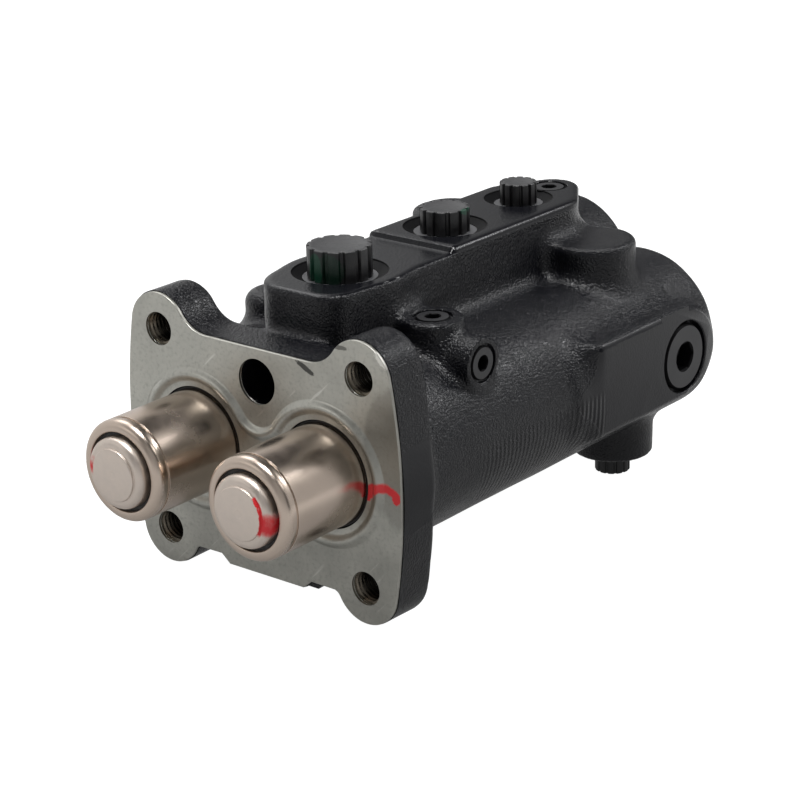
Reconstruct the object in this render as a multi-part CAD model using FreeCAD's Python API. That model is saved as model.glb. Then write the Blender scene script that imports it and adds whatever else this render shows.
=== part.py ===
import FreeCAD, Part
import math
import os

# Dual brake valve. Two spring-returned pistons lie side by side in one cast body.
# Millimetres. The origin is the centre of the four flange holes on the plate's front face.
# +X is to the right seen from the front, +Y runs from the flange to the rear, +Z is up.

V = FreeCAD.Vector
ALONG_X = V(1, 0, 0)
ALONG_Y = V(0, 1, 0)
ALONG_Z = V(0, 0, 1)
SIDES = {"left": -1, "right": 1}
SAME = 1e-4                  # lengths closer than this are equal

# Layout
BORE_X = 28.5                # piston axis from the centre plane
BUTTON_R = 12.6              # push button; its sleeve and bores grow with it
MOUTH_GAP = 1.5              # button to the sleeve's mouth
MOUTH_WALL = 3.9             # sleeve round its mouth
MOUTH_R = BUTTON_R + MOUTH_GAP
SLEEVE_R = MOUTH_R + MOUTH_WALL
RUNNING = 0.05               # radial clearance of a sliding fit
REST_GAP = 0.3               # gap at a rest stop

# Face plate
PLATE_T = 1.2
PLATE_BORE_GAP = 1.3         # plate to sleeve
PLATE_BORE_R = SLEEVE_R + PLATE_BORE_GAP
HOLE_X = 45.0                # flange hole pattern, half spacing
HOLE_Z = 37.0
PLATE_HOLE_R = 6.2
EAR_R = 13.0
PLATE_TOP_Z = 38.5
TOP_NECK_R = 14.0
SIDE_BOW = 3.5               # how far the bowed side stands out beyond the ears
PLATE_HALF_W = HOLE_X + EAR_R + SIDE_BOW
BOTTOM_NECK_Z = -41.0
BOTTOM_NECK_R = 3.5
BOTTOM_LIP_Z = -44.1
LIP_HALF_W = 17.0
LIP_RUN = 3.7
BEAD_INSET = 4.2             # bead centre line from the plate's bore
BEAD_R = PLATE_BORE_R + BEAD_INSET
BEAD_VALLEY_Z = 18.9
BEAD_W = 3.8
BEAD_H = 1.5
BEAD_EDGE_R = 1.3
BEAD_SKIN = 0.8              # sheet left over the hollow back of the bead

# Casting
FLANGE_REAR_Y = 18.0
FLANGE_GROW = 0.4            # casting outline beyond the plate
FLANGE_EDGE_R = 2.2
LUG_X = 20.6                 # small cast lug under the flange
LUG_HALF_W = 2.9
LUG_DROP = 2.5
TAPPED_R = 5.2
CENTRE_HOLE_Z = 26.8
CENTRE_HOLE_R = 8.3
CENTRE_HOLE_END_Y = 29.0
BARREL_R = 31.8
REAR_Y = {"left": 219.0, "right": 190.5}
REAR_EDGE_R = 4.0
HUMP = (-26.0, 10.0, 28.0)   # swelling on the left barrel's rear: x, z and radius
HUMP_EDGE_R = 3.0
WEB_HALF_W = 20.0
WEB_BOTTOM_Z = -26.0

# Port ridge
RIDGE_LEFT_X = -19.0
RIDGE_RIGHT_X = 20.5
RIDGE_FRONT_Y = 16.5
RIDGE_TAPER_Y = 150.0        # where the ridge starts to narrow
RIDGE_LOW_Z = 54.5
RIDGE_HIGH_Z = 56.5
RIDGE_STEP_Y = 82.0
RIDGE_CORNER_R = {"left": 14.0, "right": 11.0}
RIDGE_REAR_Y = 168.0         # centre of the round that ends the ridge
RIDGE_REAR_R = 10.0
RIDGE_EDGE_R = 2.2
SUPPLY_BOSS_Y = 46.5         # round swelling of the ridge at its front port
SUPPLY_BOSS_R = 22.0
ROOT_R = 8.0                 # hollow fillet between ridge and barrel
ROOT_END_Y = 146.0

# Bosses
REAR_BOSS = {"left": (-34.0, 150.0, 15.6, 46.5), "right": (28.5, 152.4, 17.0, 44.4)}
FRONT_LEFT_BOSS = (-35.0, 49.0, 11.0, 40.5)
FRONT_LEFT_EDGE_R = 5.0
BOSS_EDGE_R = 2.0
TOP_PLUG_X = 32.5
FRONT_PLUG_Y = 54.3
TOP_PLUG_Z = 41.5
TOP_PLUG_BOSS_R = 11.2
SIDE_PLUG_X = 54.0
SIDE_PLUG_Z = 28.5
SIDE_PLUG_BOSS_R = 9.0
SIDE_PLUG_BOSS_EDGE = 0.8
CHAMBER_Y = 167.0            # cross bores of the rear chambers
PAD_X = 61.3
PAD_FRONT_Y = 116.0
PAD_REAR_Y = 184.5
PAD_TOP_Z = 17.8
PAD_LOW_Z = -15.0
PAD_CORNER_R = 8.0
PAD_REAR_CORNER_R = 15.5
PAD_EDGE = 1.0
BOTTOM_BOSS_R = 15.5
BOTTOM_BOSS_Z = -44.0
BOTTOM_BOSS_EDGE = 1.5

# Bore stack, front to rear
GLAND_WALL = 6.0             # wiper ring and bushing round the sleeve
GLAND_R = SLEEVE_R + GLAND_WALL
WIPER_T = 6.0
GLAND_END_Y = 24.0
COLLAR_STEP = 3.0            # piston collar beyond the sleeve
PISTON_BORE_R = SLEEVE_R + COLLAR_STEP
PISTON_BORE_END_Y = 86.0
SPOOL_R = 9.0
SPOOL_BORE_END_Y = 176.0

# Piston sleeve
SLEEVE_FRONT_Y = -38.2
SLEEVE_EDGE_R = 2.6
SLEEVE_GROOVE_Y = -33.8
SLEEVE_GROOVE_W = 0.9
SLEEVE_GROOVE_DEPTH = 0.45
COLLAR_L = 10.0
SEAL_GROOVE_SETBACK = 3.0
SEAL_GROOVE_W = 4.0
SEAL_GROOVE_DEPTH = 2.5
MOUTH_DEPTH = 5.0
BUTTON_GUIDE_END_Y = -12.0
REAR_BORE_STEP = 2.4         # rear bore beyond the button, for the circlip
SLEEVE_REAR_BORE_R = BUTTON_R + REAR_BORE_STEP
PISTON_TRAVEL = 16.0

# Push button
BUTTON_SHOULDER_Y = -41.2
BUTTON_SHOULDER_EDGE_R = 2.2
DISC_INSET = 3.3             # raised disc from the button's side
DISC_R = BUTTON_R - DISC_INSET
BUTTON_TRAVEL = 3.8
DISC_EDGE = 0.4
BUTTON_TAIL_Y = -6.0
BUTTON_SOCKET_DEPTH = 20.0
BUTTON_SEAL_T = 3.2
CIRCLIP_T = 1.4
CIRCLIP_DEPTH = 1.4
CIRCLIP_REACH = 1.6          # circlip beyond the button
CIRCLIP_OUT_R = BUTTON_R + CIRCLIP_REACH
CIRCLIP_GAP_DEG = 50.0
CIRCLIP_PLAY = 0.1

# Spool
STEM_R = 5.0
STEM_FRONT_Y = 2.0
SPOOL_SHANK_R = 6.5
SPOOL_COLLAR_R = 11.0
SPOOL_COLLAR_T = 3.0
SPOOL_COLLAR_Y = 26.0
LAND_L = 10.0
LAND_RECESS_L = 12.0
LAND_COUNT = 3
SPOOL_TRAVEL = 3.0
WASHER_T = 3.0
WASHER_BORE_R = 8.0

# Springs
SPRING_SEAT_GAP = 0.1
SPRING_LEAD = 0.5            # how far the wire's slant carries its end past the last turn
COIL_RUNS = 14               # straight runs in one turn
RETURN_INSET = 2.8           # coil centre from the piston bore
RETURN_MEAN_R = PISTON_BORE_R - RETURN_INSET
RETURN_WIRE = 2.8
RETURN_TURNS = 4
METERING_MEAN_R = 8.6
METERING_WIRE = 2.2
METERING_TURNS = 4
SPOOL_SPRING_MEAN_R = 6.2
SPOOL_SPRING_WIRE = 1.8
SPOOL_SPRING_TURNS = 4

# Ports on the ridge
SUPPLY_Y = 44.4
OUTLET_Y = 102.6
RETURN_Y = 146.6
SPOTFACE_DEPTH = 2.0
LEDGE_DEPTH = 1.2            # narrow ledge round the spotface's floor
LEDGE_W = 2.3
PORT_DRILL_R = 4.0
PORT_DRILL_END_Z = 24.0
SUPPLY_SPOTFACE_R = 16.75
SUPPLY_THREAD_R = 10.2
SUPPLY_CAP_R = 11.35
SUPPLY_CAP_TOP_Z = 64.0
OUTLET_SPOTFACE_R = 15.1
OUTLET_THREAD_R = 8.2
OUTLET_CAP_R = 9.0
OUTLET_CAP_TOP_Z = 63.5
RETURN_SPOTFACE_R = 12.7
RETURN_THREAD_R = 6.2
RETURN_CAP_R = 6.9
RETURN_CAP_TOP_Z = 62.8
BRAKE_PORT_THREAD_R = 6.0
BRAKE_PORT_DRILL_R = 4.0
BRAKE_CAP_R = 6.7
BRAKE_CAP_END_Z = -52.0
PORT_THREAD_L = 15.0
CAP_SHANK_L = 9.0
CAP_CLEARANCE = 0.1
FLUTE_COUNT = 12
FLUTE_DEPTH = 1.1
FLUTE_GROOVE_SHARE = 0.5     # part of the rim that the grooves take
CAP_EDGE = 0.7

# Plugs
SIDE_RECESS_R = 13.8
SIDE_HEAD_R = 12.6
SIDE_HEAD_T = 2.0
SIDE_SEAL_T = 1.5
SIDE_SEAL_IN_R = 11.3
SIDE_SHANK_R = 10.9
SIDE_SHANK_L = 11.0
SIDE_HEX_AF = 10.0
SIDE_HEX_DEPTH = 6.0
CROSS_BORE_R = 6.0
SMALL_RECESS_R = 6.9
SMALL_RECESS_DEPTH = 1.2
SMALL_HEAD_R = 6.0
SMALL_SHANK_R = 4.6
SMALL_SHANK_L = 8.0
SMALL_HEX_AF = 5.0
SMALL_HEX_DEPTH = 4.0
REAR_PLUG_Y = 166.0
PLUG_CLEARANCE = 0.05
FLUSH_DROP = 0.2             # plug face below the surface round it

# Shuttle
SHUTTLE_R = 4.0
SHUTTLE_WAIST_R = 2.6
SHUTTLE_END_L = 8.0
SHUTTLE_TRAVEL = 1.5
SHUTTLE_SEAT_L = 2.35
SHUTTLE_SEAT_BORE_R = 2.2


def cylinder(base, axis, radius, length):
    """A plain cylinder from its base centre along an axis."""
    return Part.makeCylinder(radius, length, base, axis)


def disc(x, radius, y_front, y_rear, z=0.0):
    """A cylinder along Y between two depths."""
    return cylinder(V(x, y_front, z), ALONG_Y, radius, y_rear - y_front)


def post(x, y, radius, z_low, z_high):
    """A cylinder along Z between two heights."""
    return cylinder(V(x, y, z_low), ALONG_Z, radius, z_high - z_low)


def ring(x, r_in, r_out, y_front, y_rear):
    """A flat-ended ring round a piston axis."""
    return disc(x, r_out, y_front, y_rear).cut(disc(x, r_in, y_front, y_rear))


def edges_at(shape, axis, value):
    """The edges that lie wholly in the plane where one coordinate has a value."""
    def flat(edge):
        box = edge.BoundBox
        low = getattr(box, axis + "Min")
        high = getattr(box, axis + "Max")
        return abs(low - value) < SAME and abs(high - value) < SAME
    return [edge for edge in shape.Edges if flat(edge)]


def soften(shape, radius, axis, value):
    """Rounds every edge in one plane."""
    return shape.makeFillet(radius, edges_at(shape, axis, value))


def bevel(shape, size, axis, value):
    """Chamfers every edge in one plane."""
    return shape.makeChamfer(size, edges_at(shape, axis, value))


def round_corners(block, along, axis, value, radius):
    """Rounds a block's corner edges that run along one axis, at a value of another."""
    def runs_along(edge):
        return abs(getattr(edge.BoundBox, along + "Length") - edge.Length) < SAME
    return block.makeFillet(radius, [edge for edge in edges_at(block, axis, value) if runs_along(edge)])


def round_corner(block, x, y, radius):
    """Rounds the one upright corner of a block that stands at a place."""
    def stands_there(edge):
        span = edge.BoundBox
        return abs(span.XMin - x) + abs(span.XMax - x) + abs(span.YMin - y) + abs(span.YMax - y) < SAME
    return block.makeFillet(radius, [edge for edge in block.Edges if stands_there(edge)])


def box(x0, x1, y0, y1, z0, z1):
    """A box between two corners."""
    return Part.makeBox(x1 - x0, y1 - y0, z1 - z0, V(x0, y0, z0))


def minor_arc(start, end, centre):
    """The shorter arc between two points round a centre."""
    radius = start.sub(centre).Length
    middle = start.add(end).multiply(0.5).sub(centre).normalize()
    return Part.Arc(start, centre.add(middle.multiply(radius)), end).toShape()


def toward(centre, target, radius):
    """The point at a radius from a centre, towards a target."""
    return centre.add(target.sub(centre).normalize().multiply(radius))


def closed_face(half_edges):
    """A face from half an outline and its mirror image across the centre plane."""
    mirrored = [edge.mirror(V(0, 0, 0), ALONG_X) for edge in half_edges]
    wire = Part.Wire(Part.__sortEdges__(half_edges + mirrored))
    return Part.Face(wire)


def neck_centre(ear, line_z, neck_r, outward):
    """Centre of the hollow arc that joins an ear to a straight edge."""
    z = line_z + outward * neck_r
    reach = EAR_R + neck_r
    return V(ear.x - math.sqrt(reach ** 2 - (z - ear.z) ** 2), 0, z)


def flange_face():
    """The plate's outline: four round ears, bowed sides, a hollow top and a stepped foot."""
    top_ear = V(HOLE_X, 0, HOLE_Z)
    low_ear = V(HOLE_X, 0, -HOLE_Z)
    top_neck = neck_centre(top_ear, PLATE_TOP_Z, TOP_NECK_R, 1)
    low_neck = neck_centre(low_ear, BOTTOM_NECK_Z, BOTTOM_NECK_R, -1)
    # The bowed side touches both ears from outside: |centre - ear| = side radius - ear radius.
    inner = PLATE_HALF_W - EAR_R
    bow_x = (inner ** 2 - HOLE_X ** 2 - HOLE_Z ** 2) / (2 * (inner - HOLE_X))
    bow = V(bow_x, 0, 0)
    bow_r = PLATE_HALF_W - bow_x
    a = V(0, 0, PLATE_TOP_Z)
    b = V(top_neck.x, 0, PLATE_TOP_Z)
    c = toward(top_ear, top_neck, EAR_R)
    d = toward(bow, top_ear, bow_r)
    e = toward(bow, low_ear, bow_r)
    f = toward(low_ear, low_neck, EAR_R)
    g = V(low_neck.x, 0, BOTTOM_NECK_Z)
    h = V(LIP_HALF_W + LIP_RUN, 0, BOTTOM_NECK_Z)
    i = V(LIP_HALF_W, 0, BOTTOM_LIP_Z)
    j = V(0, 0, BOTTOM_LIP_Z)
    half = [
        Part.makeLine(a, b),
        minor_arc(b, c, top_neck),
        minor_arc(c, d, top_ear),
        minor_arc(d, e, bow),
        minor_arc(e, f, low_ear),
        minor_arc(f, g, low_neck),
        Part.makeLine(g, h),
        Part.makeLine(h, i),
        Part.makeLine(i, j),
    ]
    return closed_face(half)


def slab(face, y_front, y_rear):
    """Extrudes a face drawn at y = 0 between two depths."""
    copy = face.copy()
    copy.translate(V(0, y_front, 0))
    return copy.extrude(V(0, y_rear - y_front, 0))


def bead_face(offset):
    """The area inside the figure of eight that runs at an offset from the bead's centre line."""
    bore = V(BORE_X, 0, 0)
    valley_top = V(0, 0, BEAD_VALLEY_Z)
    valley_low = V(0, 0, -BEAD_VALLEY_Z)
    lobe_r = BEAD_R + offset
    top = toward(bore, valley_top, lobe_r)
    low = toward(bore, valley_low, lobe_r)
    far = V(BORE_X + lobe_r, 0, 0)
    valley_r = valley_top.sub(top).Length
    half = [
        minor_arc(V(0, 0, BEAD_VALLEY_Z - valley_r), top, valley_top),
        Part.Arc(top, far, low).toShape(),
        minor_arc(low, V(0, 0, valley_r - BEAD_VALLEY_Z), valley_low),
    ]
    return closed_face(half)


def bead_band(half_width, y_front, y_rear):
    """A band of a given half width along the bead's centre line."""
    outer = slab(bead_face(half_width), y_front, y_rear)
    return outer.cut(slab(bead_face(-half_width), y_front, y_rear))


def flange_holes():
    """The four hole axes, as points at y = 0."""
    return [V(x, 0, z) for x in (-HOLE_X, HOLE_X) for z in (-HOLE_Z, HOLE_Z)]


def face_plate():
    """Pressed sheet with a raised, hollow-backed bead that runs round both bores."""
    plate = slab(flange_face(), 0, PLATE_T)
    bead = soften(bead_band(BEAD_W / 2, -BEAD_H, PLATE_T), BEAD_EDGE_R, "Y", -BEAD_H)
    plate = plate.fuse(bead)
    cuts = [bead_band(BEAD_W / 2 - BEAD_SKIN, BEAD_SKIN - BEAD_H, PLATE_T)]
    cuts += [disc(side * BORE_X, PLATE_BORE_R, -BEAD_H, PLATE_T) for side in SIDES.values()]
    cuts += [disc(p.x, PLATE_HOLE_R, 0, PLATE_T, p.z) for p in flange_holes()]
    cuts.append(disc(0, CENTRE_HOLE_R, 0, PLATE_T, CENTRE_HOLE_Z))
    return plate.cut(cuts)


def tapered_end(top_z):
    """The ridge's rear end: a wide round that narrows along tangent lines to a smaller one."""
    wide = V((RIDGE_LEFT_X + RIDGE_RIGHT_X) / 2, RIDGE_TAPER_Y, 0)
    narrow = V(0, RIDGE_REAR_Y, 0)
    wide_r = (RIDGE_RIGHT_X - RIDGE_LEFT_X) / 2
    run = narrow.sub(wide)
    lean = math.asin((wide_r - RIDGE_REAR_R) / run.Length)
    heading = math.atan2(run.y, run.x)
    corners = []
    for turn in (heading - math.pi / 2 + lean, heading + math.pi / 2 - lean):
        out = V(math.cos(turn), math.sin(turn), 0)
        corners.append((wide.add(V(out).multiply(wide_r)), narrow.add(V(out).multiply(RIDGE_REAR_R))))
    (a, b), (d, c) = corners
    taper = Part.Face(Part.makePolygon([a, b, c, d, a])).extrude(V(0, 0, top_z))
    return [
        taper,
        post(wide.x, wide.y, wide_r, 0, top_z),
        post(narrow.x, narrow.y, RIDGE_REAR_R, 0, top_z),
    ]


def ridge_block(y_front, top_z):
    """One level of the port ridge: straight sides, rounded front corners and a tapered rear end."""
    block = box(RIDGE_LEFT_X, RIDGE_RIGHT_X, y_front, RIDGE_TAPER_Y, 0, top_z)
    if y_front < RIDGE_STEP_Y:
        block = round_corner(block, RIDGE_LEFT_X, y_front, RIDGE_CORNER_R["left"])
        block = round_corner(block, RIDGE_RIGHT_X, y_front, RIDGE_CORNER_R["right"])
    block = block.fuse(tapered_end(top_z)).removeSplitter()
    return soften(block, RIDGE_EDGE_R, "Z", top_z)


def root_fillet(wall_x, side):
    """The hollow corner between the ridge's wall and a barrel, as a strip along Y."""
    centre_x = wall_x + side * ROOT_R
    reach = BARREL_R + ROOT_R
    centre_z = math.sqrt(reach ** 2 - (centre_x - side * BORE_X) ** 2)
    centre = V(centre_x, FLANGE_REAR_Y, centre_z)
    on_wall = V(wall_x, FLANGE_REAR_Y, centre_z)
    on_barrel = toward(centre, V(side * BORE_X, FLANGE_REAR_Y, 0), ROOT_R)
    foot = V(on_barrel.x, FLANGE_REAR_Y, 0)
    heel = V(wall_x, FLANGE_REAR_Y, 0)
    edges = [
        minor_arc(on_wall, on_barrel, centre),
        Part.makeLine(on_barrel, foot),
        Part.makeLine(foot, heel),
        Part.makeLine(heel, on_wall),
    ]
    face = Part.Face(Part.Wire(Part.__sortEdges__(edges)))
    return face.extrude(V(0, ROOT_END_Y - FLANGE_REAR_Y, 0))


def barrel(name, side):
    """One barrel with its rounded rear edge."""
    rear = REAR_Y[name]
    return soften(disc(side * BORE_X, BARREL_R, PLATE_T, rear), REAR_EDGE_R, "Y", rear)


def rear_hump():
    """The swelling along the upper left of the left barrel, behind the right barrel's end."""
    x, z, radius = HUMP
    rear = REAR_Y["left"]
    return soften(disc(x, radius, REAR_BOSS["left"][1], rear, z), HUMP_EDGE_R, "Y", rear)


def top_boss(x, y, radius, top_z, edge_r=BOSS_EDGE_R):
    """A round upright boss that grows out of a barrel."""
    return soften(post(x, y, radius, 0, top_z), edge_r, "Z", top_z)


def bottom_boss(side):
    """The brake port's boss under the rear of a barrel."""
    boss = post(side * BORE_X, CHAMBER_Y, BOTTOM_BOSS_R, BOTTOM_BOSS_Z, 0)
    return bevel(boss, BOTTOM_BOSS_EDGE, "Z", BOTTOM_BOSS_Z)


def side_pad(side):
    """The flat pad on a barrel's flank, more rounded round the side plug than at its front."""
    inner = side * BORE_X
    outer = side * PAD_X
    pad = box(min(inner, outer), max(inner, outer), PAD_FRONT_Y, PAD_REAR_Y, PAD_LOW_Z, PAD_TOP_Z)
    pad = round_corners(pad, "X", "Y", PAD_FRONT_Y, PAD_CORNER_R)
    pad = round_corners(pad, "X", "Y", PAD_REAR_Y, PAD_REAR_CORNER_R)
    return bevel(pad, PAD_EDGE, "X", outer)


def side_plug_boss():
    """The boss of the small plug that faces right."""
    length = SIDE_PLUG_X - BORE_X
    boss = cylinder(V(BORE_X, FRONT_PLUG_Y, SIDE_PLUG_Z), ALONG_X, SIDE_PLUG_BOSS_R, length)
    return bevel(boss, SIDE_PLUG_BOSS_EDGE, "X", SIDE_PLUG_X)


def flange_lug():
    """The small lug that hangs below the flange, beside its stepped foot."""
    low_z = BOTTOM_NECK_Z - LUG_DROP
    return box(LUG_X - LUG_HALF_W, LUG_X + LUG_HALF_W, PLATE_T, FLANGE_REAR_Y - FLANGE_EDGE_R, low_z, BOTTOM_NECK_Z)


def cast_form():
    """The casting before machining."""
    outline = flange_face().makeOffset2D(FLANGE_GROW)
    flange = soften(slab(outline, PLATE_T, FLANGE_REAR_Y), FLANGE_EDGE_R, "Y", FLANGE_REAR_Y)
    web = box(-WEB_HALF_W, WEB_HALF_W, PLATE_T, REAR_Y["right"] - REAR_EDGE_R, WEB_BOTTOM_Z, 0)
    forms = [web, ridge_block(RIDGE_FRONT_Y, RIDGE_LOW_Z), ridge_block(RIDGE_STEP_Y, RIDGE_HIGH_Z)]
    for name, side in SIDES.items():
        wall_x = RIDGE_RIGHT_X if side > 0 else RIDGE_LEFT_X
        forms += [barrel(name, side), root_fillet(wall_x, side), top_boss(*REAR_BOSS[name])]
        forms += [bottom_boss(side), side_pad(side)]
    forms.append(top_boss(*FRONT_LEFT_BOSS, FRONT_LEFT_EDGE_R))
    forms.append(top_boss(0, SUPPLY_BOSS_Y, SUPPLY_BOSS_R, RIDGE_LOW_Z, RIDGE_EDGE_R))
    forms.append(top_boss(TOP_PLUG_X, FRONT_PLUG_Y, TOP_PLUG_BOSS_R, TOP_PLUG_Z))
    forms.append(side_plug_boss())
    forms.append(flange_lug())
    forms.append(rear_hump())
    return flange.fuse(forms).removeSplitter()


def bore_stack(side):
    """Everything bored into one barrel from the front."""
    x = side * BORE_X
    return [
        disc(x, GLAND_R, PLATE_T, GLAND_END_Y),
        disc(x, PISTON_BORE_R + RUNNING, GLAND_END_Y, PISTON_BORE_END_Y),
        disc(x, SPOOL_R + RUNNING, PISTON_BORE_END_Y, SPOOL_BORE_END_Y),
    ]


def port_cuts(y, plateau_z, spotface_r, thread_r):
    """Stepped spotface, tapped hole and drilling of a port on the ridge."""
    floor = plateau_z - SPOTFACE_DEPTH
    bottom = floor - PORT_THREAD_L
    return [
        post(0, y, spotface_r, plateau_z - LEDGE_DEPTH, plateau_z),
        post(0, y, spotface_r - LEDGE_W, floor, plateau_z),
        post(0, y, thread_r, bottom, floor),
        post(0, y, PORT_DRILL_R, PORT_DRILL_END_Z, bottom),
    ]


def plug_cuts(face, inward, recess_r, recess_depth, shank_r, hole_l):
    """Recess and tapped hole for a flush plug."""
    floor = face.add(V(inward).multiply(recess_depth))
    return [
        cylinder(face, inward, recess_r, recess_depth),
        cylinder(floor, inward, shank_r + PLUG_CLEARANCE, hole_l),
    ]


def small_plug_sites():
    """Face centre and inward direction of each small plug."""
    return {
        "rear_ridge_plug": (V(0, REAR_PLUG_Y, RIDGE_HIGH_Z), V(0, 0, -1)),
        "front_top_plug": (V(TOP_PLUG_X, FRONT_PLUG_Y, TOP_PLUG_Z), V(0, 0, -1)),
        "front_side_plug": (V(SIDE_PLUG_X, FRONT_PLUG_Y, SIDE_PLUG_Z), V(-1, 0, 0)),
    }


def chamber_cuts(side):
    """Side plug hole, cross bore and brake port of one rear chamber."""
    face = V(side * PAD_X, CHAMBER_Y, 0)
    inward = V(-side, 0, 0)
    depth = SIDE_HEAD_T + SIDE_SEAL_T + FLUSH_DROP
    cuts = plug_cuts(face, inward, SIDE_RECESS_R, depth, SIDE_SHANK_R, SIDE_SHANK_L)
    cuts.append(cylinder(face, inward, CROSS_BORE_R, PAD_X - BORE_X))
    x = side * BORE_X
    cuts.append(post(x, CHAMBER_Y, BRAKE_PORT_THREAD_R, BOTTOM_BOSS_Z, BOTTOM_BOSS_Z + PORT_THREAD_L))
    cuts.append(post(x, CHAMBER_Y, BRAKE_PORT_DRILL_R, BOTTOM_BOSS_Z, 0))
    return cuts


def valve_body():
    """The casting with its bores, ports, plug holes and tapped ears."""
    cuts = []
    for side in SIDES.values():
        cuts += bore_stack(side) + chamber_cuts(side)
    cuts += [disc(p.x, TAPPED_R, 0, FLANGE_REAR_Y, p.z) for p in flange_holes()]
    cuts.append(disc(0, CENTRE_HOLE_R, 0, CENTRE_HOLE_END_Y, CENTRE_HOLE_Z))
    cuts += port_cuts(SUPPLY_Y, RIDGE_LOW_Z, SUPPLY_SPOTFACE_R, SUPPLY_THREAD_R)
    cuts += port_cuts(OUTLET_Y, RIDGE_HIGH_Z, OUTLET_SPOTFACE_R, OUTLET_THREAD_R)
    cuts += port_cuts(RETURN_Y, RIDGE_HIGH_Z, RETURN_SPOTFACE_R, RETURN_THREAD_R)
    for face, inward in small_plug_sites().values():
        hole_l = SMALL_SHANK_L + SMALL_RECESS_DEPTH
        cuts += plug_cuts(face, inward, SMALL_RECESS_R, SMALL_RECESS_DEPTH, SMALL_SHANK_R, hole_l)
    cuts.append(cylinder(V(-BORE_X, CHAMBER_Y, 0), ALONG_X, SHUTTLE_R + RUNNING, 2 * BORE_X))
    return cast_form().cut(cuts)


def socket_plug(face, inward, head_r, head_t, shank_r, shank_l, hex_af, hex_depth):
    """A flush plug with a hexagon socket, its face a little below the surface round it."""
    top = face.add(V(inward).multiply(FLUSH_DROP))
    under_head = top.add(V(inward).multiply(head_t))
    body = cylinder(top, inward, head_r, head_t).fuse(cylinder(under_head, inward, shank_r, shank_l))
    return body.cut(hexagon(top, inward, hex_af, hex_depth)).removeSplitter()


def hexagon(base, axis, across_flats, length):
    """A hexagonal prism from a centre along an axis."""
    radius = across_flats / math.sqrt(3)
    turns = [math.radians(60 * i) for i in range(7)]
    points = [V(radius * math.cos(t), radius * math.sin(t), 0) for t in turns]
    prism = Part.Face(Part.makePolygon(points)).extrude(V(0, 0, length))
    prism.Placement = FreeCAD.Placement(base, FreeCAD.Rotation(ALONG_Z, axis))
    return prism


def flute_outline(head_r):
    """The cap's outline: flat finger ribs with a V groove between each pair."""
    step = math.pi / FLUTE_COUNT
    groove = step * FLUTE_GROOVE_SHARE
    points = []
    for i in range(FLUTE_COUNT):
        middle = 2 * i * step
        for turn, radius in ((-groove, head_r), (0, head_r - FLUTE_DEPTH), (groove, head_r)):
            points.append(V(math.cos(middle + turn), math.sin(middle + turn), 0).multiply(radius))
    return Part.makePolygon(points + [points[0]])


def fluted_cap(face, outward, head_r, head_l, shank_r):
    """A screw-in cap with finger flutes round its head and a bevelled top."""
    head = Part.Face(flute_outline(head_r)).extrude(V(0, 0, head_l))
    bevel = Part.makeCone(head_r + head_l, head_r - CAP_EDGE, head_l + CAP_EDGE, V(0, 0, -CAP_EDGE))
    shank = cylinder(V(0, 0, -CAP_SHANK_L), ALONG_Z, shank_r, CAP_SHANK_L)
    cap = head.common(bevel).fuse(shank).removeSplitter()
    cap.Placement = FreeCAD.Placement(face, FreeCAD.Rotation(ALONG_Z, outward))
    return cap


def ridge_cap(y, plateau_z, top_z, head_r, thread_r):
    """A cap that stands on the floor of its spotface."""
    floor = plateau_z - SPOTFACE_DEPTH
    return fluted_cap(V(0, y, floor), ALONG_Z, head_r, top_z - floor, thread_r - CAP_CLEARANCE)


def coil(x, mean_r, wire, turns, y_front, y_rear):
    """A spring of square wire between two seats, its turns made of short straight runs."""
    length = y_rear - y_front - wire - SPRING_LEAD - 2 * SPRING_SEAT_GAP
    runs = turns * COIL_RUNS
    path = []
    for i in range(runs + 1):
        turn = 2 * math.pi * i / COIL_RUNS
        path.append(V(mean_r * math.cos(turn), mean_r * math.sin(turn), length * i / runs))
    half = wire / 2
    corners = [(-half, -half), (half, -half), (half, half), (-half, half), (-half, -half)]
    section = Part.makePolygon([V(mean_r + u, 0, v) for u, v in corners])
    mitred = 1
    spring = Part.makePolygon(path).makePipeShell([section], True, True, mitred)
    at = V(x, y_front + half + SPRING_SEAT_GAP, 0)
    spring.Placement = FreeCAD.Placement(at, FreeCAD.Rotation(ALONG_Z, ALONG_Y))
    return spring


def collar_front():
    """Front face of the sleeve's collar at rest, just behind the bushing."""
    return GLAND_END_Y + REST_GAP


def collar_rear():
    """Rear face of the sleeve's collar at rest."""
    return collar_front() + COLLAR_L


def seal_groove():
    """Front and rear of the groove in the collar."""
    front = collar_front() + SEAL_GROOVE_SETBACK
    return front, front + SEAL_GROOVE_W


def piston_sleeve(x):
    """Sleeve with a rounded nose, a groove behind it, a stop collar and a stepped bore."""
    nose = soften(disc(x, SLEEVE_R, SLEEVE_FRONT_Y, collar_rear()), SLEEVE_EDGE_R, "Y", SLEEVE_FRONT_Y)
    sleeve = nose.fuse(disc(x, PISTON_BORE_R, collar_front(), collar_rear()))
    mouth_end = SLEEVE_FRONT_Y + MOUTH_DEPTH
    groove_r = SLEEVE_R - SLEEVE_GROOVE_DEPTH
    seal_r = PISTON_BORE_R - SEAL_GROOVE_DEPTH
    cuts = [
        disc(x, MOUTH_R, SLEEVE_FRONT_Y, mouth_end),
        disc(x, BUTTON_R + RUNNING, mouth_end, BUTTON_GUIDE_END_Y),
        disc(x, SLEEVE_REAR_BORE_R, BUTTON_GUIDE_END_Y, collar_rear()),
        ring(x, groove_r, SLEEVE_R, SLEEVE_GROOVE_Y, SLEEVE_GROOVE_Y + SLEEVE_GROOVE_W),
        ring(x, seal_r, PISTON_BORE_R, *seal_groove()),
    ]
    return sleeve.cut(cuts)


def circlip_span():
    """Front and rear of the circlip behind the button's guide."""
    front = BUTTON_GUIDE_END_Y + REST_GAP
    return front, front + CIRCLIP_T


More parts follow.
